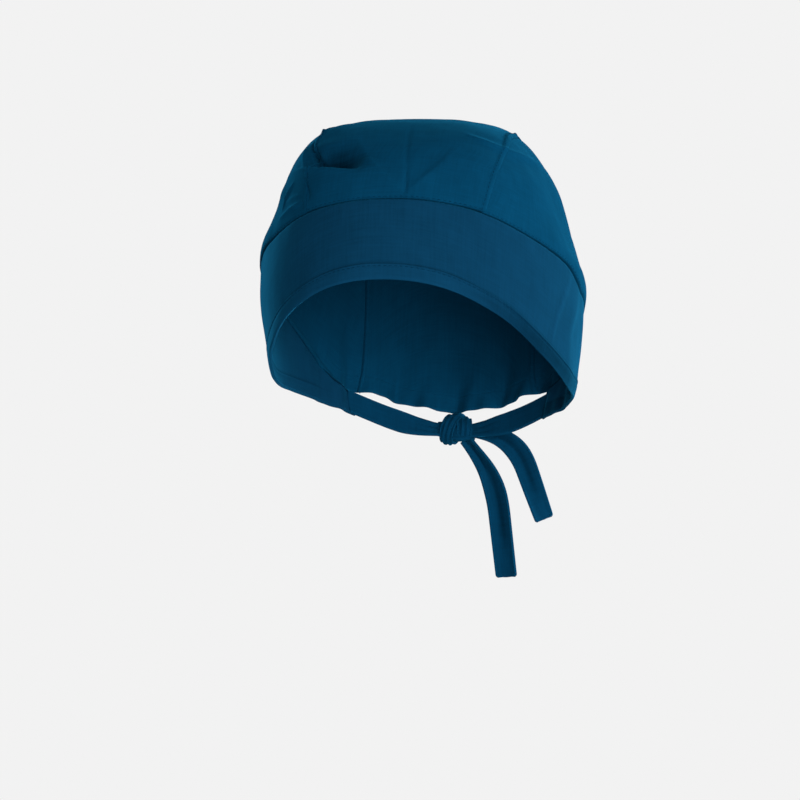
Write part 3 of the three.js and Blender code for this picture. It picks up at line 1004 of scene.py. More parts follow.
@dataclass
class Wardrobe:
    """The finishes of the cap."""

    shared: SharedNodes = field(default_factory=SharedNodes)
    band: bpy.types.Material = field(init=False)
    crown: bpy.types.Material = field(init=False)
    tie: bpy.types.Material = field(init=False)
    thread: bpy.types.Material = field(init=False)

    def __post_init__(self) -> None:
        """Makes each material once."""
        self.band = ClothFinish("band_poplin", (0.0013, 0.0180, 0.0415)).material(self.shared)
        # The crown's colour is set paler than the band's and the ties': painted light, for the brightness of
        # the crown's middle.
        self.crown = ClothFinish("crown_poplin", (0.0007, 0.0215, 0.049), sheen=0.08).material(self.shared)
        self.tie = ClothFinish("tie_poplin", (0.0007, 0.0175, 0.041)).material(self.shared)
        # The thread is set darker than the cloth: painted shade for the dark dashes of the stitch lines.
        self.thread = ThreadFinish("teal_thread", (0.0006, 0.0135, 0.033)).material()


# Meshes


def add_grid(
    whole: bmesh.types.BMesh,
    laid: Laid,
    wear_and_shade: Points,
    cloth: bmesh.types.BMLayerItem,
    worn_and_shaded: bmesh.types.BMLayerItem,
) -> None:
    """Adds one laid grid to a mesh, with its cloth map, its wear and its painted shade.

    Args:
        whole: the mesh.
        laid: the grid, in millimetres.
        wear_and_shade: how worn each point is, and below 0 how dark its painted shade is.
        cloth: the mesh's UV layer, in metres of cloth.
        worn_and_shaded: the mesh's layer for wear and painted shade.
    """
    rows, columns = laid.points.shape[:2]
    first = len(whole.verts)
    made = bmesh.ops.create_grid(whole, x_segments=columns - 1, y_segments=rows - 1, size=1.0)
    whole.verts.index_update()
    verts = made["verts"]
    faces = list({face for vert in verts for face in vert.link_faces})
    places = np.array([v.co[:2] for v in verts])
    column = np.rint((places[:, 0] + 1) / 2 * (columns - 1)).astype(int)
    row = np.rint((places[:, 1] + 1) / 2 * (rows - 1)).astype(int)
    middle = (laid.to_first - laid.to_last)[row, column] * MM / 2
    up = laid.to_low[row, column] * MM
    place = laid.points[row, column] * MM
    for vert, co, amount in zip(verts, place, wear_and_shade[row, column]):
        vert.co = co
        vert[worn_and_shaded] = amount
    for face in faces:
        face.smooth = True
        for loop in face.loops:
            i = loop.vert.index - first
            loop[cloth].uv = (middle[i], up[i])
    normals = laid.normals[row, column]
    sample = faces[len(faces) // 2]
    sample.normal_update()
    if sample.normal.dot(Vector(normals[sample.verts[0].index - first])) < 0:
        bmesh.ops.reverse_faces(whole, faces=faces)


def cloth_object(
    name: str,
    pieces: list[tuple[Laid, Points]],
    thickness: float,
    finish: bpy.types.Material,
    edge_round: float = 0.3,
) -> bpy.types.Object:
    """Makes a piece of cloth from laid grids.

    Args:
        name: the piece's name.
        pieces: the outsides of the cloth, in millimetres, each with its points' wear and painted
            shade. 1 is worn pale, and below 0 is painted shade in a fold or seam.
        thickness: the wall in millimetres, inward from the grid.
        finish: its material.
        edge_round: the radius of its cut or folded edges.

    Returns:
        The object, with its thickness and rounded edges as modifiers.
    """
    mesh = bpy.data.meshes.new(name)
    whole = bmesh.new()
    cloth = whole.loops.layers.uv.new("cloth")
    # One value a point: wear above 0, painted shade below 0.
    worn_and_shaded = whole.verts.layers.float.new("wear_and_shade")
    for laid, wear_and_shade in pieces:
        add_grid(whole, laid, np.clip(wear_and_shade, -3, 1), cloth, worn_and_shaded)
    whole.to_mesh(mesh)
    whole.free()
    mesh.materials.append(finish)
    made = bpy.data.objects.new(name, mesh)
    bpy.context.scene.collection.objects.link(made)
    wall = made.modifiers.new("wall", "SOLIDIFY")
    wall.thickness = thickness * MM
    wall.offset = -1
    wall.use_even_offset = False
    edges = made.modifiers.new("rounded edges", "BEVEL")
    edges.width = min(edge_round, 0.45 * thickness) * MM
    edges.segments = 2
    edges.limit_method = "ANGLE"
    edges.angle_limit = math.radians(50)
    LOG.info("%s: %d points", name, len(mesh.vertices))
    return made


def flat_area(laid: Laid) -> tuple[float, float, float]:
    """Measures the cloth that a grid was cut from.

    Args:
        laid: the grid, in millimetres.

    Returns:
        The greatest width and length in metres, and the area in square metres.
    """
    across = np.linalg.norm(np.diff(laid.points, axis=1), axis=-1)
    up = np.linalg.norm(np.diff(laid.points, axis=0), axis=-1)
    area = float(np.sum((across[:-1] + across[1:]) / 2 * (up[:, :-1] + up[:, 1:]) / 2)) * MM * MM
    width = float(across.sum(axis=1).max()) * MM
    length = float(up.sum(axis=0).max()) * MM
    return width, length, area


@dataclass
class Needlework:
    """Rows of stitches, each a short rounded thread that dips into the cloth at both ends."""

    finish: bpy.types.Material
    length: float = 2.1
    pitch: float = 2.75
    thickness: float = 0.36
    rows: list[tuple[str, Points, Points]] = field(default_factory=list)

    def add(self, name: str, points: Points, normals: Points) -> None:
        """Notes a line to be stitched, in millimetres."""
        self.rows.append((name, points, normals))

    def _stitch(self) -> bmesh.types.BMesh:
        """Models one stitch, lying along X at the origin.

        Returns:
            The stitch, one unit long and thick.
        """
        stitch = bmesh.new()
        bmesh.ops.create_cone(
            stitch, cap_ends=True, cap_tris=False, segments=6, radius1=0.5, radius2=0.5, depth=1.0
        )
        sides = [edge for edge in stitch.edges if abs(edge.verts[0].co.z - edge.verts[1].co.z) > 0.5]
        bmesh.ops.subdivide_edges(stitch, edges=sides, cuts=3, use_grid_fill=True)
        bmesh.ops.rotate(stitch, verts=stitch.verts, matrix=Matrix.Rotation(math.pi / 2, 3, "Y"))
        for vert in stitch.verts:
            share = vert.co.x * 2
            waist = math.sqrt(max(1 - 0.85 * share**4, 0.05))
            vert.co.y *= waist
            vert.co.z = vert.co.z * waist - 0.55 * share**2
        return stitch

    def build(self, name: str) -> bpy.types.Object:
        """Builds every row as one object.

        Args:
            name: the piece's name.

        Returns:
            The object.
        """
        pattern = self._stitch()
        pattern.verts.ensure_lookup_table()
        shape = np.array([tuple(v.co) for v in pattern.verts])
        source = bpy.data.meshes.new(name + "_one")
        pattern.to_mesh(source)
        pattern.free()
        sewn = bmesh.new()
        total = 0
        for _, points, normals in self.rows:
            steps = np.linalg.norm(np.diff(points, axis=0), axis=-1)
            run = np.concatenate([[0], np.cumsum(steps)])
            starts = np.arange(self.pitch, run[-1] - self.pitch, self.pitch)
            for start in starts:
                ends = [
                    np.array([np.interp(at, run, points[:, k]) for k in range(3)])
                    for at in (start, start + self.length)
                ]
                up = np.array([np.interp(start, run, normals[:, k]) for k in range(3)])
                forward = ends[1] - ends[0]
                size = np.linalg.norm(forward)
                if size < 0.2 * self.length:
                    continue
                forward /= size
                side = np.cross(up, forward)
                side /= np.linalg.norm(side)
                up = np.cross(forward, side)
                first = len(sewn.verts)
                sewn.from_mesh(source)
                sewn.verts.ensure_lookup_table()
                centre = (ends[0] + ends[1]) / 2 + up * 0.1 * self.thickness
                scaled = shape * np.array([size, self.thickness, self.thickness])
                placed = centre + scaled[:, :1] * forward + scaled[:, 1:2] * side + scaled[:, 2:] * up
                for k, place in enumerate(placed * MM):
                    sewn.verts[first + k].co = place
                total += 1
        mesh = bpy.data.meshes.new(name)
        for face in sewn.faces:
            face.smooth = True
        sewn.to_mesh(mesh)
        sewn.free()
        bpy.data.meshes.remove(source)
        mesh.materials.append(self.finish)
        made = bpy.data.objects.new(name, mesh)
        bpy.context.scene.collection.objects.link(made)
        LOG.info("%s: %d stitches", name, total)
        return made


# The cap's sub-assemblies


@dataclass
class BrowBand:
    """The doubled band with its stitched hem, running back to the ties."""

    form: CapForm
    folds: FoldField
    finish: bpy.types.Material
    needlework: Needlework
    cloth: float = 1.6
    hem_height: float = 8.0
    hem_step: float = 0.45
    hem_curl: float = 1.5
    stitch_inset: float = 1.0
    stitch_dent: float = 0.32
    seam_ditch: float = 1.1
    end_tuck: float = 0.9
    end_seam: float = 3.0
    fold_share: float = 0.6
    columns: int = 400

    def surface(self, u: Points, v: Points) -> Points:
        """Finds points of the band on the form.

        Args:
            u: the shares round the head.
            v: the shares up the band.

        Returns:
            The points.
        """
        end = self.form.band_end_angle
        angle = -end + 2 * end * u
        low, high = self.form.hem(angle), self.form.band_top(angle)
        return self.form.around(angle, low + (high - low) * v)

    def build(self) -> bpy.types.Object:
        """Builds the band and notes its stitches.

        Returns:
            The band.
        """
        hem = self.hem_height
        low = (0, 0.3, 0.8, 1.6, 2.8, 4.2, 5.6, hem - 1.6, hem - 1.2, hem - 0.9, hem - 0.55, hem - 0.25)
        low += (hem, hem + 0.3, hem + 0.8, hem + 1.6)
        rows = Stations(low, EDGE_ROWS, 20)
        laid = lay(self.surface, np.linspace(0, 1, self.columns), rows)
        base = laid.normals
        wide = ease(laid.to_low[-1:, :], 15, 30)
        proud = self.hem_step * (1 - ease(laid.to_low, hem - 0.15, hem + 0.25)) * wide
        stitched = self.stitch_dent * bump(laid.to_low - (hem - self.stitch_inset), 0.7) * wide
        ditch = self.seam_ditch * bump(laid.to_high, 0.45) + 0.15 * bump(laid.to_high, 1.2)
        turned = 0.5 * bump(laid.to_low, 0.6)
        angle = np.degrees(np.arctan2(laid.points[..., 0], -laid.points[..., 1]))
        curl = self.hem_curl * ease(angle, 5, 45) * (1 - ease(angle, 100, 125))
        turned = turned + curl * np.clip(1 - laid.to_low / hem, 0, 1) ** 1.4
        ends = self.end_tuck * (bump(laid.to_first, 0.8) + bump(laid.to_last, 0.8))
        folded = self.folds.rise(laid.points, base) * self.fold_share
        rise = folded + proud - stitched - ditch - turned - ends
        cloth = laid.lifted(rise)
        # The folded lower edge is worn paler, and a line just under the top is paler; painted shade darkens
        # the hem's step and the seam along the top edge.
        wear_and_shade = 0.9 * bump(laid.to_low, 1.2) - 1.3 * bump(laid.to_low - hem - 0.3, 0.5) * wide
        wear_and_shade = wear_and_shade + 0.3 * bump(laid.to_high - 1.0, 0.6) - 2.4 * bump(laid.to_high, 0.6)
        wear_and_shade = wear_and_shade + self.folds.shade(laid.points, base)
        # Painted light on the hem strip: paler near the middle of the brow, and painted shade where it curls
        # under on the wearer's left.
        strip = 1 - ease(laid.to_low, hem - 0.6, hem + 0.2)
        wear_and_shade = wear_and_shade + strip * (0.5 * bump(angle + 5, 30) - 1.9 * ease(angle, 20, 55))
        made = cloth_object("brow_band_cloth", [(cloth, wear_and_shade)], self.cloth, self.finish)
        line, up = cloth.line(lambda c: c.to_low, hem - self.stitch_inset)
        self.needlework.add("hem", line[14:-14], up[14:-14])
        side = cloth.turned()
        for pick in (lambda c: c.to_low, lambda c: c.to_high):
            line, up = side.line(pick, self.end_seam)
            self.needlework.add("band end", line[4:-4], up[4:-4])
        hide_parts("brow_band")
        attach(made, ROOT)
        return made


@dataclass
class Crown:
    """The centre panel over the top of the head and the two side panels."""

    form: CapForm
    folds: FoldField
    finish: bpy.types.Material
    needlework: Needlework
    cloth: float = 1.0
    rib_width: float = 2.7
    rib_height: float = 0.28
    topstitch: float = 1.5
    seam_under: float = 2.2
    step_under: float = 2.0
    back_hem: float = 9.0
    hem_inset: float = 1.1
    end_gap: float = 0.25
    seam_shade: float = 2.6
    centre_columns: int = 104
    centre_rows: int = 286
    side_columns: int = 250
    side_rows: int = 74
    lines: dict[float, tuple[float, float, float, float]] = field(default_factory=dict)

    def line_at(self, x: float) -> tuple[float, float, float, float]:
        """Finds where a lengthwise line starts and ends, and keeps it for the next time.

        Args:
            x: how far left of the middle the line is.

        Returns:
            Its angles from the brow at the brow and the nape, and its lifts there, in degrees.
        """
        key = round(float(x), 6)
        if key not in self.lines:
            brow, nape = self.form.edge_angle(x, False), self.form.edge_angle(x, True)
            lifts = []
            for angle in (brow, nape):
                end = self.form.around(np.array(angle), self.form.crown_edge(np.array(angle)))
                lifts.append(math.degrees(math.atan2(end[2] - self.form.core[2], -end[1])) % 360)
            self.lines[key] = (abs(brow), abs(nape), lifts[0], lifts[1])
        return self.lines[key]

    def centre_surface(self, u: Points, v: Points) -> Points:
        """Finds points of the centre panel on the form.

        Args:
            u: the shares across the panel.
            v: the shares from brow to nape.

        Returns:
            The points.
        """
        u, v = np.broadcast_arrays(np.asarray(u, float), np.asarray(v, float))
        x = self.form.panel_half_width * (2 * u - 1)
        every = {value: self.line_at(value) for value in np.unique(np.round(x, 6))}
        first = np.vectorize(lambda value: every[value][2])(np.round(x, 6))
        last = np.vectorize(lambda value: every[value][3])(np.round(x, 6))
        lift = first + (last - first) * v
        return self.form.over(self.form.tugged(x, lift), lift)

    def side_surface(self, side: Side) -> Callable[[Points, Points], Points]:
        """Makes the surface of a side panel.

        Args:
            side: which panel it is.

        Returns:
            The surface, which takes shares from brow to nape and from band to seam.
        """
        x = side.value * self.form.panel_half_width
        _, _, first, last = self.line_at(x)
        inner = x - side.value * self.seam_under
        start = float(self.form.tugged(np.array([inner]), np.array([first]))[0])
        brow, nape = abs(self.form.edge_angle(start, False)), abs(self.form.edge_angle(inner, True))

        def surface(u: Points, v: Points) -> Points:
            """Finds points of the panel on the form.

            Args:
                u: the shares from brow to nape.
                v: the shares from the band up to the seam.

            Returns:
                The points.
            """
            u, v = np.broadcast_arrays(np.asarray(u, float), np.asarray(v, float))
            angle = side.value * (brow + self.end_gap + (nape - brow - 2 * self.end_gap) * u)
            low = self.form.around(angle, self.form.crown_edge(angle))
            lift = first + self.end_gap + (last - first - 2 * self.end_gap) * u
            high = self.form.over(self.form.tugged(np.full_like(u, inner), lift), lift)
            direction = low * (1 - v[..., None]) + high * v[..., None] - self.form.core
            direction /= np.linalg.norm(direction, axis=-1, keepdims=True)
            return self.form.along_ray(self.form.core, direction)

        return surface

    def build(self) -> list[bpy.types.Object]:
        """Builds the three panels and notes their stitches."""
        return [self._centre(), self._side(Side.LEFT), self._side(Side.RIGHT)]

    def _sewn_edge(self, to_edge: Points, behind: Points | float) -> Points:
        """Finds how far the cloth dips as it goes under the band.

        Args:
            to_edge: the distances to its edge.
            behind: 1 where the hem is free, and 0 where it is sewn.

        Returns:
            The dip, in millimetres.
        """
        seen = to_edge - self.form.crown_under
        dip = self.step_under * (1 - ease(seen, -0.8, 0.5)) + 0.9 * bump(seen, 0.5)
        stitched = 0.3 * bump(seen - self.topstitch, 0.4)
        return (dip + stitched) * (1 - behind)

    def _free_hem(self, to_edge: Points, behind: Points | float) -> Points:
        """Finds the lift of the folded hem over the ties.

        Args:
            to_edge: the distances to its edge.
            behind: 1 where the hem is free, and 0 where it is sewn.

        Returns:
            The lift, in millimetres.
        """
        step = 0.45 * (1 - ease(to_edge, self.back_hem - 0.2, self.back_hem + 0.3))
        stitched = 0.3 * bump(to_edge - (self.back_hem - self.hem_inset), 0.7)
        return (step - stitched) * behind

    def _centre(self) -> bpy.types.Object:
        """Builds the centre panel with the felled seams on its edges.

        Returns:
            The panel.
        """
        rib = self.rib_width / (2 * self.form.panel_half_width)
        edge = np.array([0, 0.06, 0.14, 0.25, 0.4, 0.55, 0.7, 0.82, 0.91, 1.0, 1.1, 1.25, 1.5]) * rib
        inner = np.linspace(edge[-1], 1 - edge[-1], self.centre_columns)
        columns = np.concatenate([edge[:-1], inner, (1 - edge[:-1])[::-1]])
        hem = (0, 0.3, 0.8, 1.6, 3, 4.5, 6, 7.2, 7.9, 8.4, 8.8, 9.1, 9.5, 10.4)
        rows = Stations(UNDER_ROWS, hem, self.centre_rows, 0.42)
        laid = lay(self.centre_surface, columns, rows)
        across = np.minimum(laid.to_first, laid.to_last)
        width = self.rib_width * 1.12
        over_top = bump((laid.to_low - 78) / 24, 1.0)
        raised = 1 - ease(across, width - 0.3, width + 0.35)
        rib_rise = self.rib_height * (1 + 2 * over_top) * raised
        rib_rise = rib_rise - 0.35 * bump(across, 0.3) - 0.2 * bump(across - width * 0.8, 0.35)
        under = self.form.crown_under
        rib_rise = rib_rise * ease(laid.to_low, under + 0.2, under + 2.5)
        rise = self.folds.rise(laid.points, laid.normals) + rib_rise
        rise = rise - self._sewn_edge(laid.to_low, 0) + self._free_hem(laid.to_high, 1)
        cloth = laid.lifted(rise)
        # Wear pales the rib and the nape hem's edge; painted shade darkens the panel's edge along the felled
        # seam.
        wear_and_shade = 0.15 * bump(across - 0.8, 0.6) - 0.4 * bump(across, 0.4) + 0.8 * bump(laid.to_high, 1.1)
        # Painted shade along the seam to the band.
        wear_and_shade = wear_and_shade - self.seam_shade * bump(laid.to_low - under, 0.55)
        wear_and_shade = wear_and_shade + self.folds.shade(laid.points, laid.normals)
        made = cloth_object("crown_centre_cloth", [(cloth, wear_and_shade)], self.cloth, self.finish)
        turned = cloth.turned()
        for pick in (lambda c: c.to_low, lambda c: c.to_high):
            line, up = turned.line(pick, self.rib_width * 0.9)
            self.needlework.add("felled seam", line[3:-3], up[3:-3])
        line, up = cloth.line(lambda c: c.to_low, under + self.topstitch)
        self.needlework.add("band topstitch", line, up)
        line, up = cloth.line(lambda c: c.to_high, self.back_hem - self.hem_inset)
        self.needlework.add("nape hem", line, up)
        width, length, area = flat_area(cloth)
        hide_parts("crown_centre_panel")
        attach(made, ROOT)
        return made

    def _side(self, side: Side) -> bpy.types.Object:
        """Builds a side panel, whose upper edge tucks under the centre panel's seam.

        Args:
            side: which panel it is.

        Returns:
            The panel.
        """
        u = np.linspace(0, 1, self.side_columns)
        columns = 0.55 * (0.5 - 0.5 * np.cos(math.pi * u)) + 0.45 * u**1.25
        rows = Stations(UNDER_ROWS, UNDER_ROWS, self.side_rows)
        laid = lay(self.side_surface(side), columns, rows)
        angle = np.degrees(np.arctan2(laid.points[..., 0], -laid.points[..., 1]))
        behind = ease(np.abs(angle), self.form.band_end_angle - 12, self.form.band_end_angle - 2)
        seen = laid.to_high - self.seam_under
        under = self.step_under * 0.75 * (1 - ease(seen, -0.7, 0.0)) + 0.3 * bump(seen, 2.2)
        rise = self.folds.rise(laid.points, laid.normals) - under
        rise = rise - self._sewn_edge(laid.to_low, behind) + self._free_hem(laid.to_low, behind)
        cloth = laid.lifted(rise)
        # Painted shade where the panel goes under the centre panel's seam and along the seam to the band;
        # wear pales the free hem's edge behind.
        wear_and_shade = self.folds.shade(laid.points, laid.normals) - 0.5 * bump(seen, 0.4)
        sewn = laid.to_low - self.form.crown_under
        wear_and_shade = wear_and_shade - self.seam_shade * bump(sewn, 0.55) * (1 - behind)
        wear_and_shade = wear_and_shade + 0.7 * bump(laid.to_low, 1.1) * behind
        name = "crown_side_" + side.name.lower()
        made = cloth_object(name + "_cloth", [(cloth, wear_and_shade)], self.cloth, self.finish)
        line, up = cloth.line(lambda c: c.to_low, self.form.crown_under + self.topstitch)
        self.needlework.add("band topstitch", line[3:-3], up[3:-3])
        line, up = cloth.line(lambda c: c.to_high, self.seam_under + 1.6)
        self.needlework.add("felled seam", line[6:-6], up[6:-6])
        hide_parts(name)
        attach(made, ROOT)
        return made


@dataclass(frozen=True)
class Tail:
    """A free end.

    Length is a share of the longest. Start, leave and hang are degrees below the level: where it leaves
    the knot, its direction there, and its direction at its end. Turn is its twist in degrees. Cup is how
    far its middle stands out, and behind is how far it drifts back, as shares of the ties' width.
    """

    node: str
    length: float
    start: float
    leave: float
    hang: float
    turn: float
    cup: float
    behind: float


TAILS = (
    Tail("tail_left", 0.84, 0, 8, 70, 44, 0.26, 0),
    Tail("tail_right", 1, 48, 52, 84, -12, 0.2, 0.12),
)


STRAP_SHARES = (0, 0.02, 0.06, 0.11, 0.16, 0.22, 0.3, 0.4, 0.5, 0.6, 0.7, 0.78, 0.84, 0.89, 0.94, 0.98, 1)


@dataclass
class NapeTies:
    """The two ties, the knot that joins them and their hanging ends."""

    form: CapForm
    finish: bpy.types.Material
    needlework: Needlework
    cloth: float = 1.3
    knot_half_width: float = 11.0
    knot_half_depth: float = 7.0
    knot_half_height: float = 8.5
    tail_length: float = 77.0
    tucked: float = 3.5
    corner: float = 1.8
    waist: float = 0.55
    stitch_edge: float = 1.5
    steps: int = 90

    @property
    def knot(self) -> Points:
        """The knot's centre."""
        angle = np.array(180.0)
        z = (self.form.hem(angle) + self.form.band_top(angle)) / 2
        return self.form.around(angle, z) + np.array([0, self.knot_half_depth * 0.8, 0])

    def build(self) -> list[bpy.types.Object]:
        """Builds the ties, the knot and the tails.

        Returns:
            The five objects.
        """
        made = [self._tie(side) for side in Side]
        made.append(self._knot())
        made.extend(self._tail(tail) for tail in TAILS)
        return made

    def _strap(
        self, centre: Points, across: Points, flat: Points, width: Points, cup: Points, pleat: Points
    ) -> tuple[Laid, Points]:
        """Lays a flat strap along a route.

        Args:
            centre: the route's points.
            across: the unit vectors across the strap.
            flat: the unit vectors out of its face.
            width: its width at each point.
            cup: how far its middle stands out of its edges' plane.
            pleat: the depth of its lengthwise pleats.

        Returns:
            The laid grid, and how worn its points are.
        """
        s = np.array(STRAP_SHARES)[:, None, None]
        edge = np.minimum(s, 1 - s)
        run = np.concatenate([[0], np.cumsum(np.linalg.norm(np.diff(centre, axis=0), axis=-1))])
        wander = 1.5 * np.sin(run / 7.0)[None, :, None]
        arch = cup[None, :, None] * (1 - (2 * s - 1) ** 2)
        ripples = pleat[None, :, None] * np.cos(s * math.pi * 6 + wander)
        rim = -0.16 * bump(edge - 0.13, 0.035) - 0.35 * bump(edge, 0.03)
        crumple = np.array([noise.noise(Vector(tuple(p / 7.0))) for p in centre])[None, :, None]
        crumple = crumple * (0.35 + 2 * pleat[None, :, None]) * np.sin(s * math.pi)
        points = (
            centre[None, :, :]
            + across[None, :, :] * (s - 0.5) * width[None, :, None]
            + flat[None, :, :] * (arch + ripples + rim + crumple + self.cloth / 2)
        )
        to_low = np.array(STRAP_SHARES)[:, None] * width[None, :]
        along = np.broadcast_to(run[None, :], to_low.shape)
        normal = np.cross(np.gradient(points, axis=0), np.gradient(points, axis=1))
        normal /= np.linalg.norm(normal, axis=-1, keepdims=True)
        normal *= np.sign(np.sum(normal * flat[None, :, :], axis=-1, keepdims=True))
        laid = Laid(points, normal, to_low, width[None, :] - to_low, along, run[-1] - along)
        return laid, 0.8 * bump(np.minimum(to_low, width[None, :] - to_low), 0.8)

    def _dress(self, made: bpy.types.Object, node: str) -> None:
        """Hides the part of a node that a strap stands for, and attaches the strap to the root.

        Args:
            made: the strap.
            node: the node's name.
        """
        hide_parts(node)
        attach(made, ROOT)

    def _tie(self, side: Side) -> bpy.types.Object:
        """Builds a tie from inside the band's end to the knot.

        Args:
            side: which tie it is.

        Returns:
            The tie.
        """
        knot = self.knot
        gap = self.knot_half_width - 3
        turn = 0.0
        while abs(float(self.form.around(np.array(180 - turn), np.array(knot[2]))[0])) < gap:
            turn += 0.1
        share = np.linspace(0, 1, 60)
        first = self.form.band_end_angle - 3
        angle = side.value * (first + (180 - turn - first) * share)
        middle = (self.form.hem(angle) + self.form.band_top(angle)) / 2
        centre = self.form.around(angle, middle)
        tangent = np.gradient(centre, axis=0)
        tangent /= np.linalg.norm(tangent, axis=-1, keepdims=True)
        above = self.form.around(angle, middle + 2)
        up = above - centre
        up /= np.linalg.norm(up, axis=-1, keepdims=True)
        flat = np.cross(tangent, up)
        outward = centre - self.form.core
        flat *= np.sign(np.sum(flat * outward, axis=-1, keepdims=True))
        drawn = 1 - (1 - self.waist) * ease(share, 0.5, 1)
        to_knot = ease(share, 0.6, 1)[:, None]
        centre = centre + flat * (0.2 - self.cloth * 0.5) + np.array([0, 3.6, 0]) * to_knot
        width = self.form.tie_width * 0.98 * drawn
        pleat = 0.5 * ease(share, 0.45, 0.95)
        node = "tie_" + side.name.lower()
        laid, wear_and_shade = self._strap(centre, up, flat, width, 0.6 * (1 - share), pleat)
        made = cloth_object(node + "_strap", [(laid, wear_and_shade)], self.cloth, self.finish)
        for pick in (lambda c: c.to_low, lambda c: c.to_high):
            line, normal = laid.line(pick, self.stitch_edge)
            self.needlework.add("tie edge", line[6:-4], normal[6:-4])
        self._dress(made, node)
        return made

    def _tail(self, tail: Tail) -> bpy.types.Object:
        """Builds a free end, bending down under its own weight.

        Args:
            tail: the free end's sizes.

        Returns:
            The free end.
        """
        steps = self.steps
        share = (np.arange(steps) + 0.5) / steps
        outside = tail.length * self.tail_length
        length = outside + self.tucked
        hung = ease((share * length - self.tucked) / outside, 0, 0.6)
        slope = np.radians(tail.leave + (tail.hang - tail.leave) * hung)
        step = np.stack([np.cos(slope), np.zeros(steps), -np.sin(slope)], axis=-1)
        start = math.radians(tail.start)
        out = np.array([math.cos(start), 0, -math.sin(start)])
        edge = 1 / math.hypot(out[0] / self.knot_half_width, out[2] / self.knot_half_height)
        first = self.knot + out * (edge + self.form.seam_gap - self.tucked)
        centre = first + np.vstack([[0, 0, 0], np.cumsum(step, axis=0)]) * length / steps
        along = np.linspace(0, 1, steps + 1)
        tangent = np.gradient(centre, axis=0)
        tangent /= np.linalg.norm(tangent, axis=-1, keepdims=True)
        twist = np.radians(tail.turn) * along
        back = np.array([0.0, 1.0, 0.0])
        side = np.cross(back, tangent)
        flat = back * np.cos(twist)[:, None] + side * np.sin(twist)[:, None]
        across = np.cross(flat, tangent)
        width = self.form.tie_width * (self.waist + (0.97 - self.waist) * ease(along, 0, 0.45))
        to_end = np.clip((1 - along) * length / self.corner, 0, 1)
        width = width - 2 * self.corner * (1 - np.sqrt(1 - (1 - to_end) ** 2)) * 0.7
        cup = tail.cup * self.form.tie_width * (1 - 0.45 * along)
        pleat = 0.45 * (1 - ease(along, 0.0, 0.5))
        centre = centre + flat * (tail.behind * self.form.tie_width * along)[:, None]
        laid, wear_and_shade = self._strap(centre, across, flat, width, cup, pleat)
        s = np.array(STRAP_SHARES)[:, None]
        # Painted shade down the middle of the cupped strap, fading away from the knot.
        wear_and_shade = wear_and_shade - 2.0 * bump(s - 0.42, 0.17) * (1 - ease(along, 0.62, 0.92))[None, :]
        made = cloth_object(tail.node + "_strap", [(laid, wear_and_shade)], self.cloth, self.finish)
        for pick in (lambda c: c.to_low, lambda c: c.to_high):
            line, normal = laid.line(pick, self.stitch_edge)
            self.needlework.add("tail edge", line[8:-2], normal[8:-2])
        self._dress(made, tail.node)
        return made

    def _wound(self, turns: Points, reach: Points, x: Points, width: Points) -> tuple[Laid, Points]:
        """Lays strap that winds round the knot's own left-right axis.

        Args:
            turns: how far round each point is, from 0 at the top, outward and down.
            reach: the share of the knot's half height and half depth at which it lies.
            x: how far left of the knot's centre it is, in millimetres.
            width: the strap's width there.

        Returns:
            The laid grid, and how worn its points are.
        """
        a = 2 * math.pi * turns
        depth, height = self.knot_half_depth - self.cloth, self.knot_half_height - self.cloth
        centre = self.knot + np.stack([x, reach * depth * np.sin(a), reach * height * np.cos(a)], axis=-1)
        tangent = np.gradient(centre, axis=0)
        tangent /= np.linalg.norm(tangent, axis=-1, keepdims=True)
        outward = np.stack([np.zeros_like(a), np.sin(a) * height, np.cos(a) * depth], axis=-1)
        outward -= tangent * np.sum(outward * tangent, axis=-1, keepdims=True)
        flat = outward / np.linalg.norm(outward, axis=-1, keepdims=True)
        across = np.cross(flat, tangent)
        return self._strap(centre, across, flat, width, 0.9 + 0 * a, 0.5 + 0 * a)

    def _knot(self) -> bpy.types.Object:
        """Builds the knot. One tie goes straight through, and the other winds round it and crosses itself.

        Returns:
            The knot.
        """
        w = self.knot_half_width
        share = np.linspace(0, 1, 130)
        winding = self._wound(
            turns=-0.3 + 1.72 * share,
            reach=0.86 + 0.16 * ease(share, 0.5, 0.75) - 0.3 * ease(share, 0.94, 1),
            x=w * (0.42 - 0.92 * ease(share, 0.05, 0.55) + 0.95 * ease(share, 0.55, 1)),
            width=self.form.tie_width * (0.62 + 0.06 * np.sin(share * 9)),
        )
        inner = np.linspace(0, 1, 40)
        route = [w * (2 * inner - 1) * 0.98, 0.5 * np.sin(inner * 7), 0.6 * np.cos(inner * 5)]
        level = self.knot + np.stack(route, axis=-1)
        tangent = np.gradient(level, axis=0)
        tangent /= np.linalg.norm(tangent, axis=-1, keepdims=True)
        middle = np.sin(inner * math.pi)
        width = self.form.tie_width * (0.42 + 0.2 * middle)
        cup, pleat = np.full_like(inner, 1.3), np.full_like(inner, 0.3)
        pieces = [winding]
        for facing in ((0, 1, 0.15), (0, -1, 0.1), (0, 0.1, 1), (0, -0.1, -1)):
            across = np.cross(np.array(Vector(facing).normalized())[None, :], tangent)
            across /= np.linalg.norm(across, axis=-1, keepdims=True)
            flat = np.cross(tangent, across)
            centre = level + flat * (1.6 + 1.6 * middle)[:, None]
            pieces.append(self._strap(centre, across, flat, width, cup, pleat))
        knot = cloth_object("tie_knot_cloth", pieces, self.cloth, self.finish)
        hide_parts("tie_knot")
        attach(knot, ROOT)
        return knot


# The studio


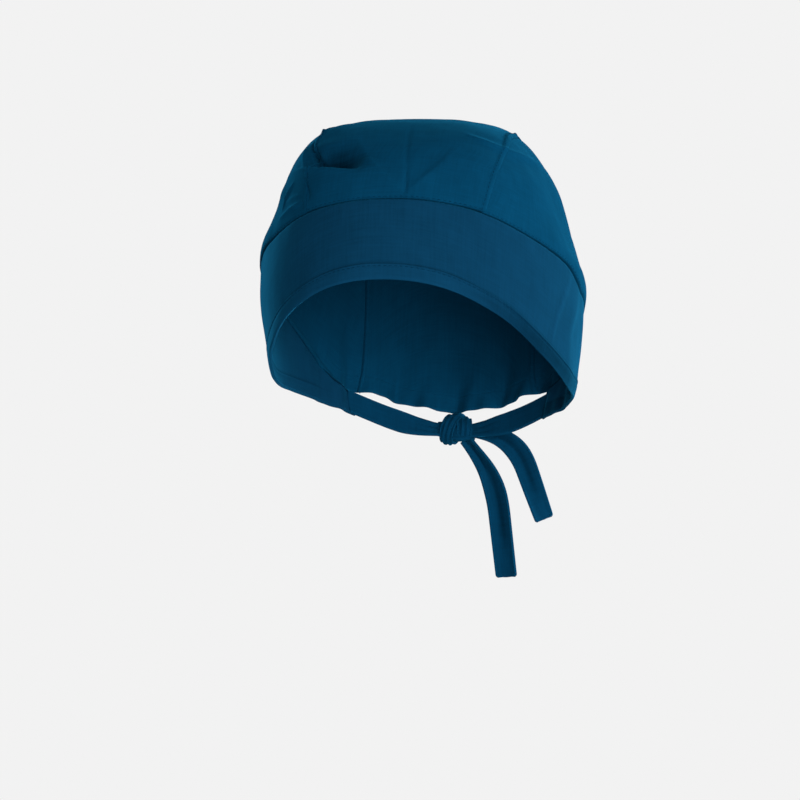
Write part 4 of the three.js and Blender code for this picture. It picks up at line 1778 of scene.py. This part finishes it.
def direction_at(azimuth: float, elevation: float) -> Vector:
    """Finds the direction in which something stands from the cap.

    Args:
        azimuth: its angle from the brow, in degrees.
        elevation: its angle above the level, in degrees.

    Returns:
        The unit direction.
    """
    turn, rise = math.radians(azimuth), math.radians(elevation)
    return Vector((math.sin(turn) * math.cos(rise), -math.cos(turn) * math.cos(rise), math.sin(rise)))


@dataclass(frozen=True)
class Lamp:
    """A square softbox. Angles are from the brow and above the level, the side is in metres."""

    name: str
    azimuth: float
    elevation: float
    side: float
    watts: float


LAMPS = (
    Lamp("key", azimuth=60, elevation=0, side=1.2, watts=45),
    Lamp("front", azimuth=23, elevation=6, side=1.2, watts=84),
    Lamp("right_rim", azimuth=122, elevation=-3, side=0.5, watts=74),
    Lamp("left_rim", azimuth=-136, elevation=-3, side=0.5, watts=92),
    Lamp("back", azimuth=176, elevation=20, side=1.2, watts=10),
)


@dataclass
class Studio:
    """A pale seamless surround, soft lights and the camera at the photo's angle."""

    azimuth: float = 11.0
    elevation: float = 6.0
    distance: float = 2.2
    view_width: float = 0.4176
    origin_right: float = 0.01148
    origin_down: float = 0.00026
    floor_level: float = -0.34
    paleness: float = 0.888
    air: float = 0.45
    light_height: float = 0.05

    def build(self) -> None:
        """Makes the surround, the lights and the camera."""
        self._surround()
        self._lights()
        self._camera()

    def _surround(self) -> None:
        """Makes a round floor that sweeps up into a far wall."""
        mesh = bpy.data.meshes.new("studio_surround")
        sweep = bmesh.new()
        bend, reach, top = 2.0, 6.5, 7.0
        arc = [math.radians(a) for a in range(0, 91, 6)]
        outline = [(0.0, 0.0), (reach * 0.35, 0.0)]
        outline += [(reach + bend * (math.sin(a) - 1), bend * (1 - math.cos(a))) for a in arc]
        outline += [(reach, top)]
        verts = [sweep.verts.new((r, 0, self.floor_level + h)) for r, h in outline]
        edges = [sweep.edges.new(pair) for pair in zip(verts, verts[1:])]
        bmesh.ops.spin(
            sweep, geom=verts + edges, cent=(0, 0, 0), axis=(0, 0, 1), angle=math.tau, steps=72,
            use_merge=True, use_duplicate=False,
        )
        bmesh.ops.remove_doubles(sweep, verts=sweep.verts, dist=1e-5)
        bmesh.ops.recalc_face_normals(sweep, faces=sweep.faces)
        for face in sweep.faces:
            face.smooth = True
        sweep.to_mesh(mesh)
        sweep.free()
        paint = bpy.data.materials.new("studio_pale")
        paint.use_nodes = True
        skin = paint.node_tree.nodes["Principled BSDF"]
        skin.inputs["Base Color"].default_value = (0, 0, 0, 1)
        skin.inputs["Roughness"].default_value = 1
        skin.inputs["Specular IOR Level"].default_value = 0
        skin.inputs["Emission Color"].default_value = (1, 1, 1, 1)
        skin.inputs["Emission Strength"].default_value = self.paleness
        mesh.materials.append(paint)
        made = bpy.data.objects.new("studio_surround", mesh)
        bpy.context.scene.collection.objects.link(made)
        made.visible_diffuse = False

    def _light(self, lamp: Lamp) -> None:
        """Makes one lamp that faces the cap.

        Args:
            lamp: its place, size and power.
        """
        away = direction_at(lamp.azimuth, lamp.elevation)
        data = bpy.data.lights.new(lamp.name, "AREA")
        data.shape = "SQUARE"
        data.size = lamp.side
        data.energy = lamp.watts
        made = bpy.data.objects.new(lamp.name, data)
        made.location = Vector((0, 0, self.light_height)) + away * self.distance
        made.rotation_euler = (-away).to_track_quat("-Z", "Y").to_euler()
        bpy.context.scene.collection.objects.link(made)

    def _lights(self) -> None:
        """Makes the lamps and the even light of the air."""
        for lamp in LAMPS:
            self._light(lamp)
        world = bpy.data.worlds.new("studio_air")
        world.use_nodes = True
        world.node_tree.nodes["Background"].inputs["Color"].default_value = (1, 1, 1, 1)
        world.node_tree.nodes["Background"].inputs["Strength"].default_value = self.air
        bpy.context.scene.world = world
        bpy.context.scene.view_settings.view_transform = "Standard"

    def _camera(self) -> None:
        """Makes the camera, aimed so that the cap sits where it does in the photo."""
        data = bpy.data.cameras.new("photo_camera")
        data.sensor_width = 36
        data.lens = 36 * self.distance / self.view_width
        data.clip_start, data.clip_end = 0.05, 60
        turn = math.radians(self.azimuth)
        back = direction_at(self.azimuth, self.elevation)
        right = Vector((math.cos(turn), math.sin(turn), 0))
        up = back.cross(right).normalized()
        aim = -right * self.origin_right - up * self.origin_down
        camera = bpy.data.objects.new("photo_camera", data)
        camera.rotation_mode = "QUATERNION"
        camera.location = aim + back * self.distance
        camera.rotation_quaternion = (-back).to_track_quat("-Z", "Y")
        bpy.context.scene.collection.objects.link(camera)
        bpy.context.scene.camera = camera


def main() -> None:
    """Builds the cap and its studio, piece by piece."""
    logging.basicConfig(level=logging.INFO, format="%(name)s: %(message)s")
    Studio().build()
    form = CapForm()
    folds = FoldField(form)
    wardrobe = Wardrobe()
    needlework = Needlework(wardrobe.thread)
    band = BrowBand(form, folds, wardrobe.band, needlework).build()
    LOG.info("made %s", band.name)
    for piece in Crown(form, folds, wardrobe.crown, needlework).build():
        LOG.info("made %s", piece.name)
    for piece in NapeTies(form, wardrobe.tie, needlework).build():
        LOG.info("made %s", piece.name)
    stitches = needlework.build("stitching")
    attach(stitches, ROOT)


if __name__ == "__main__":
    main()
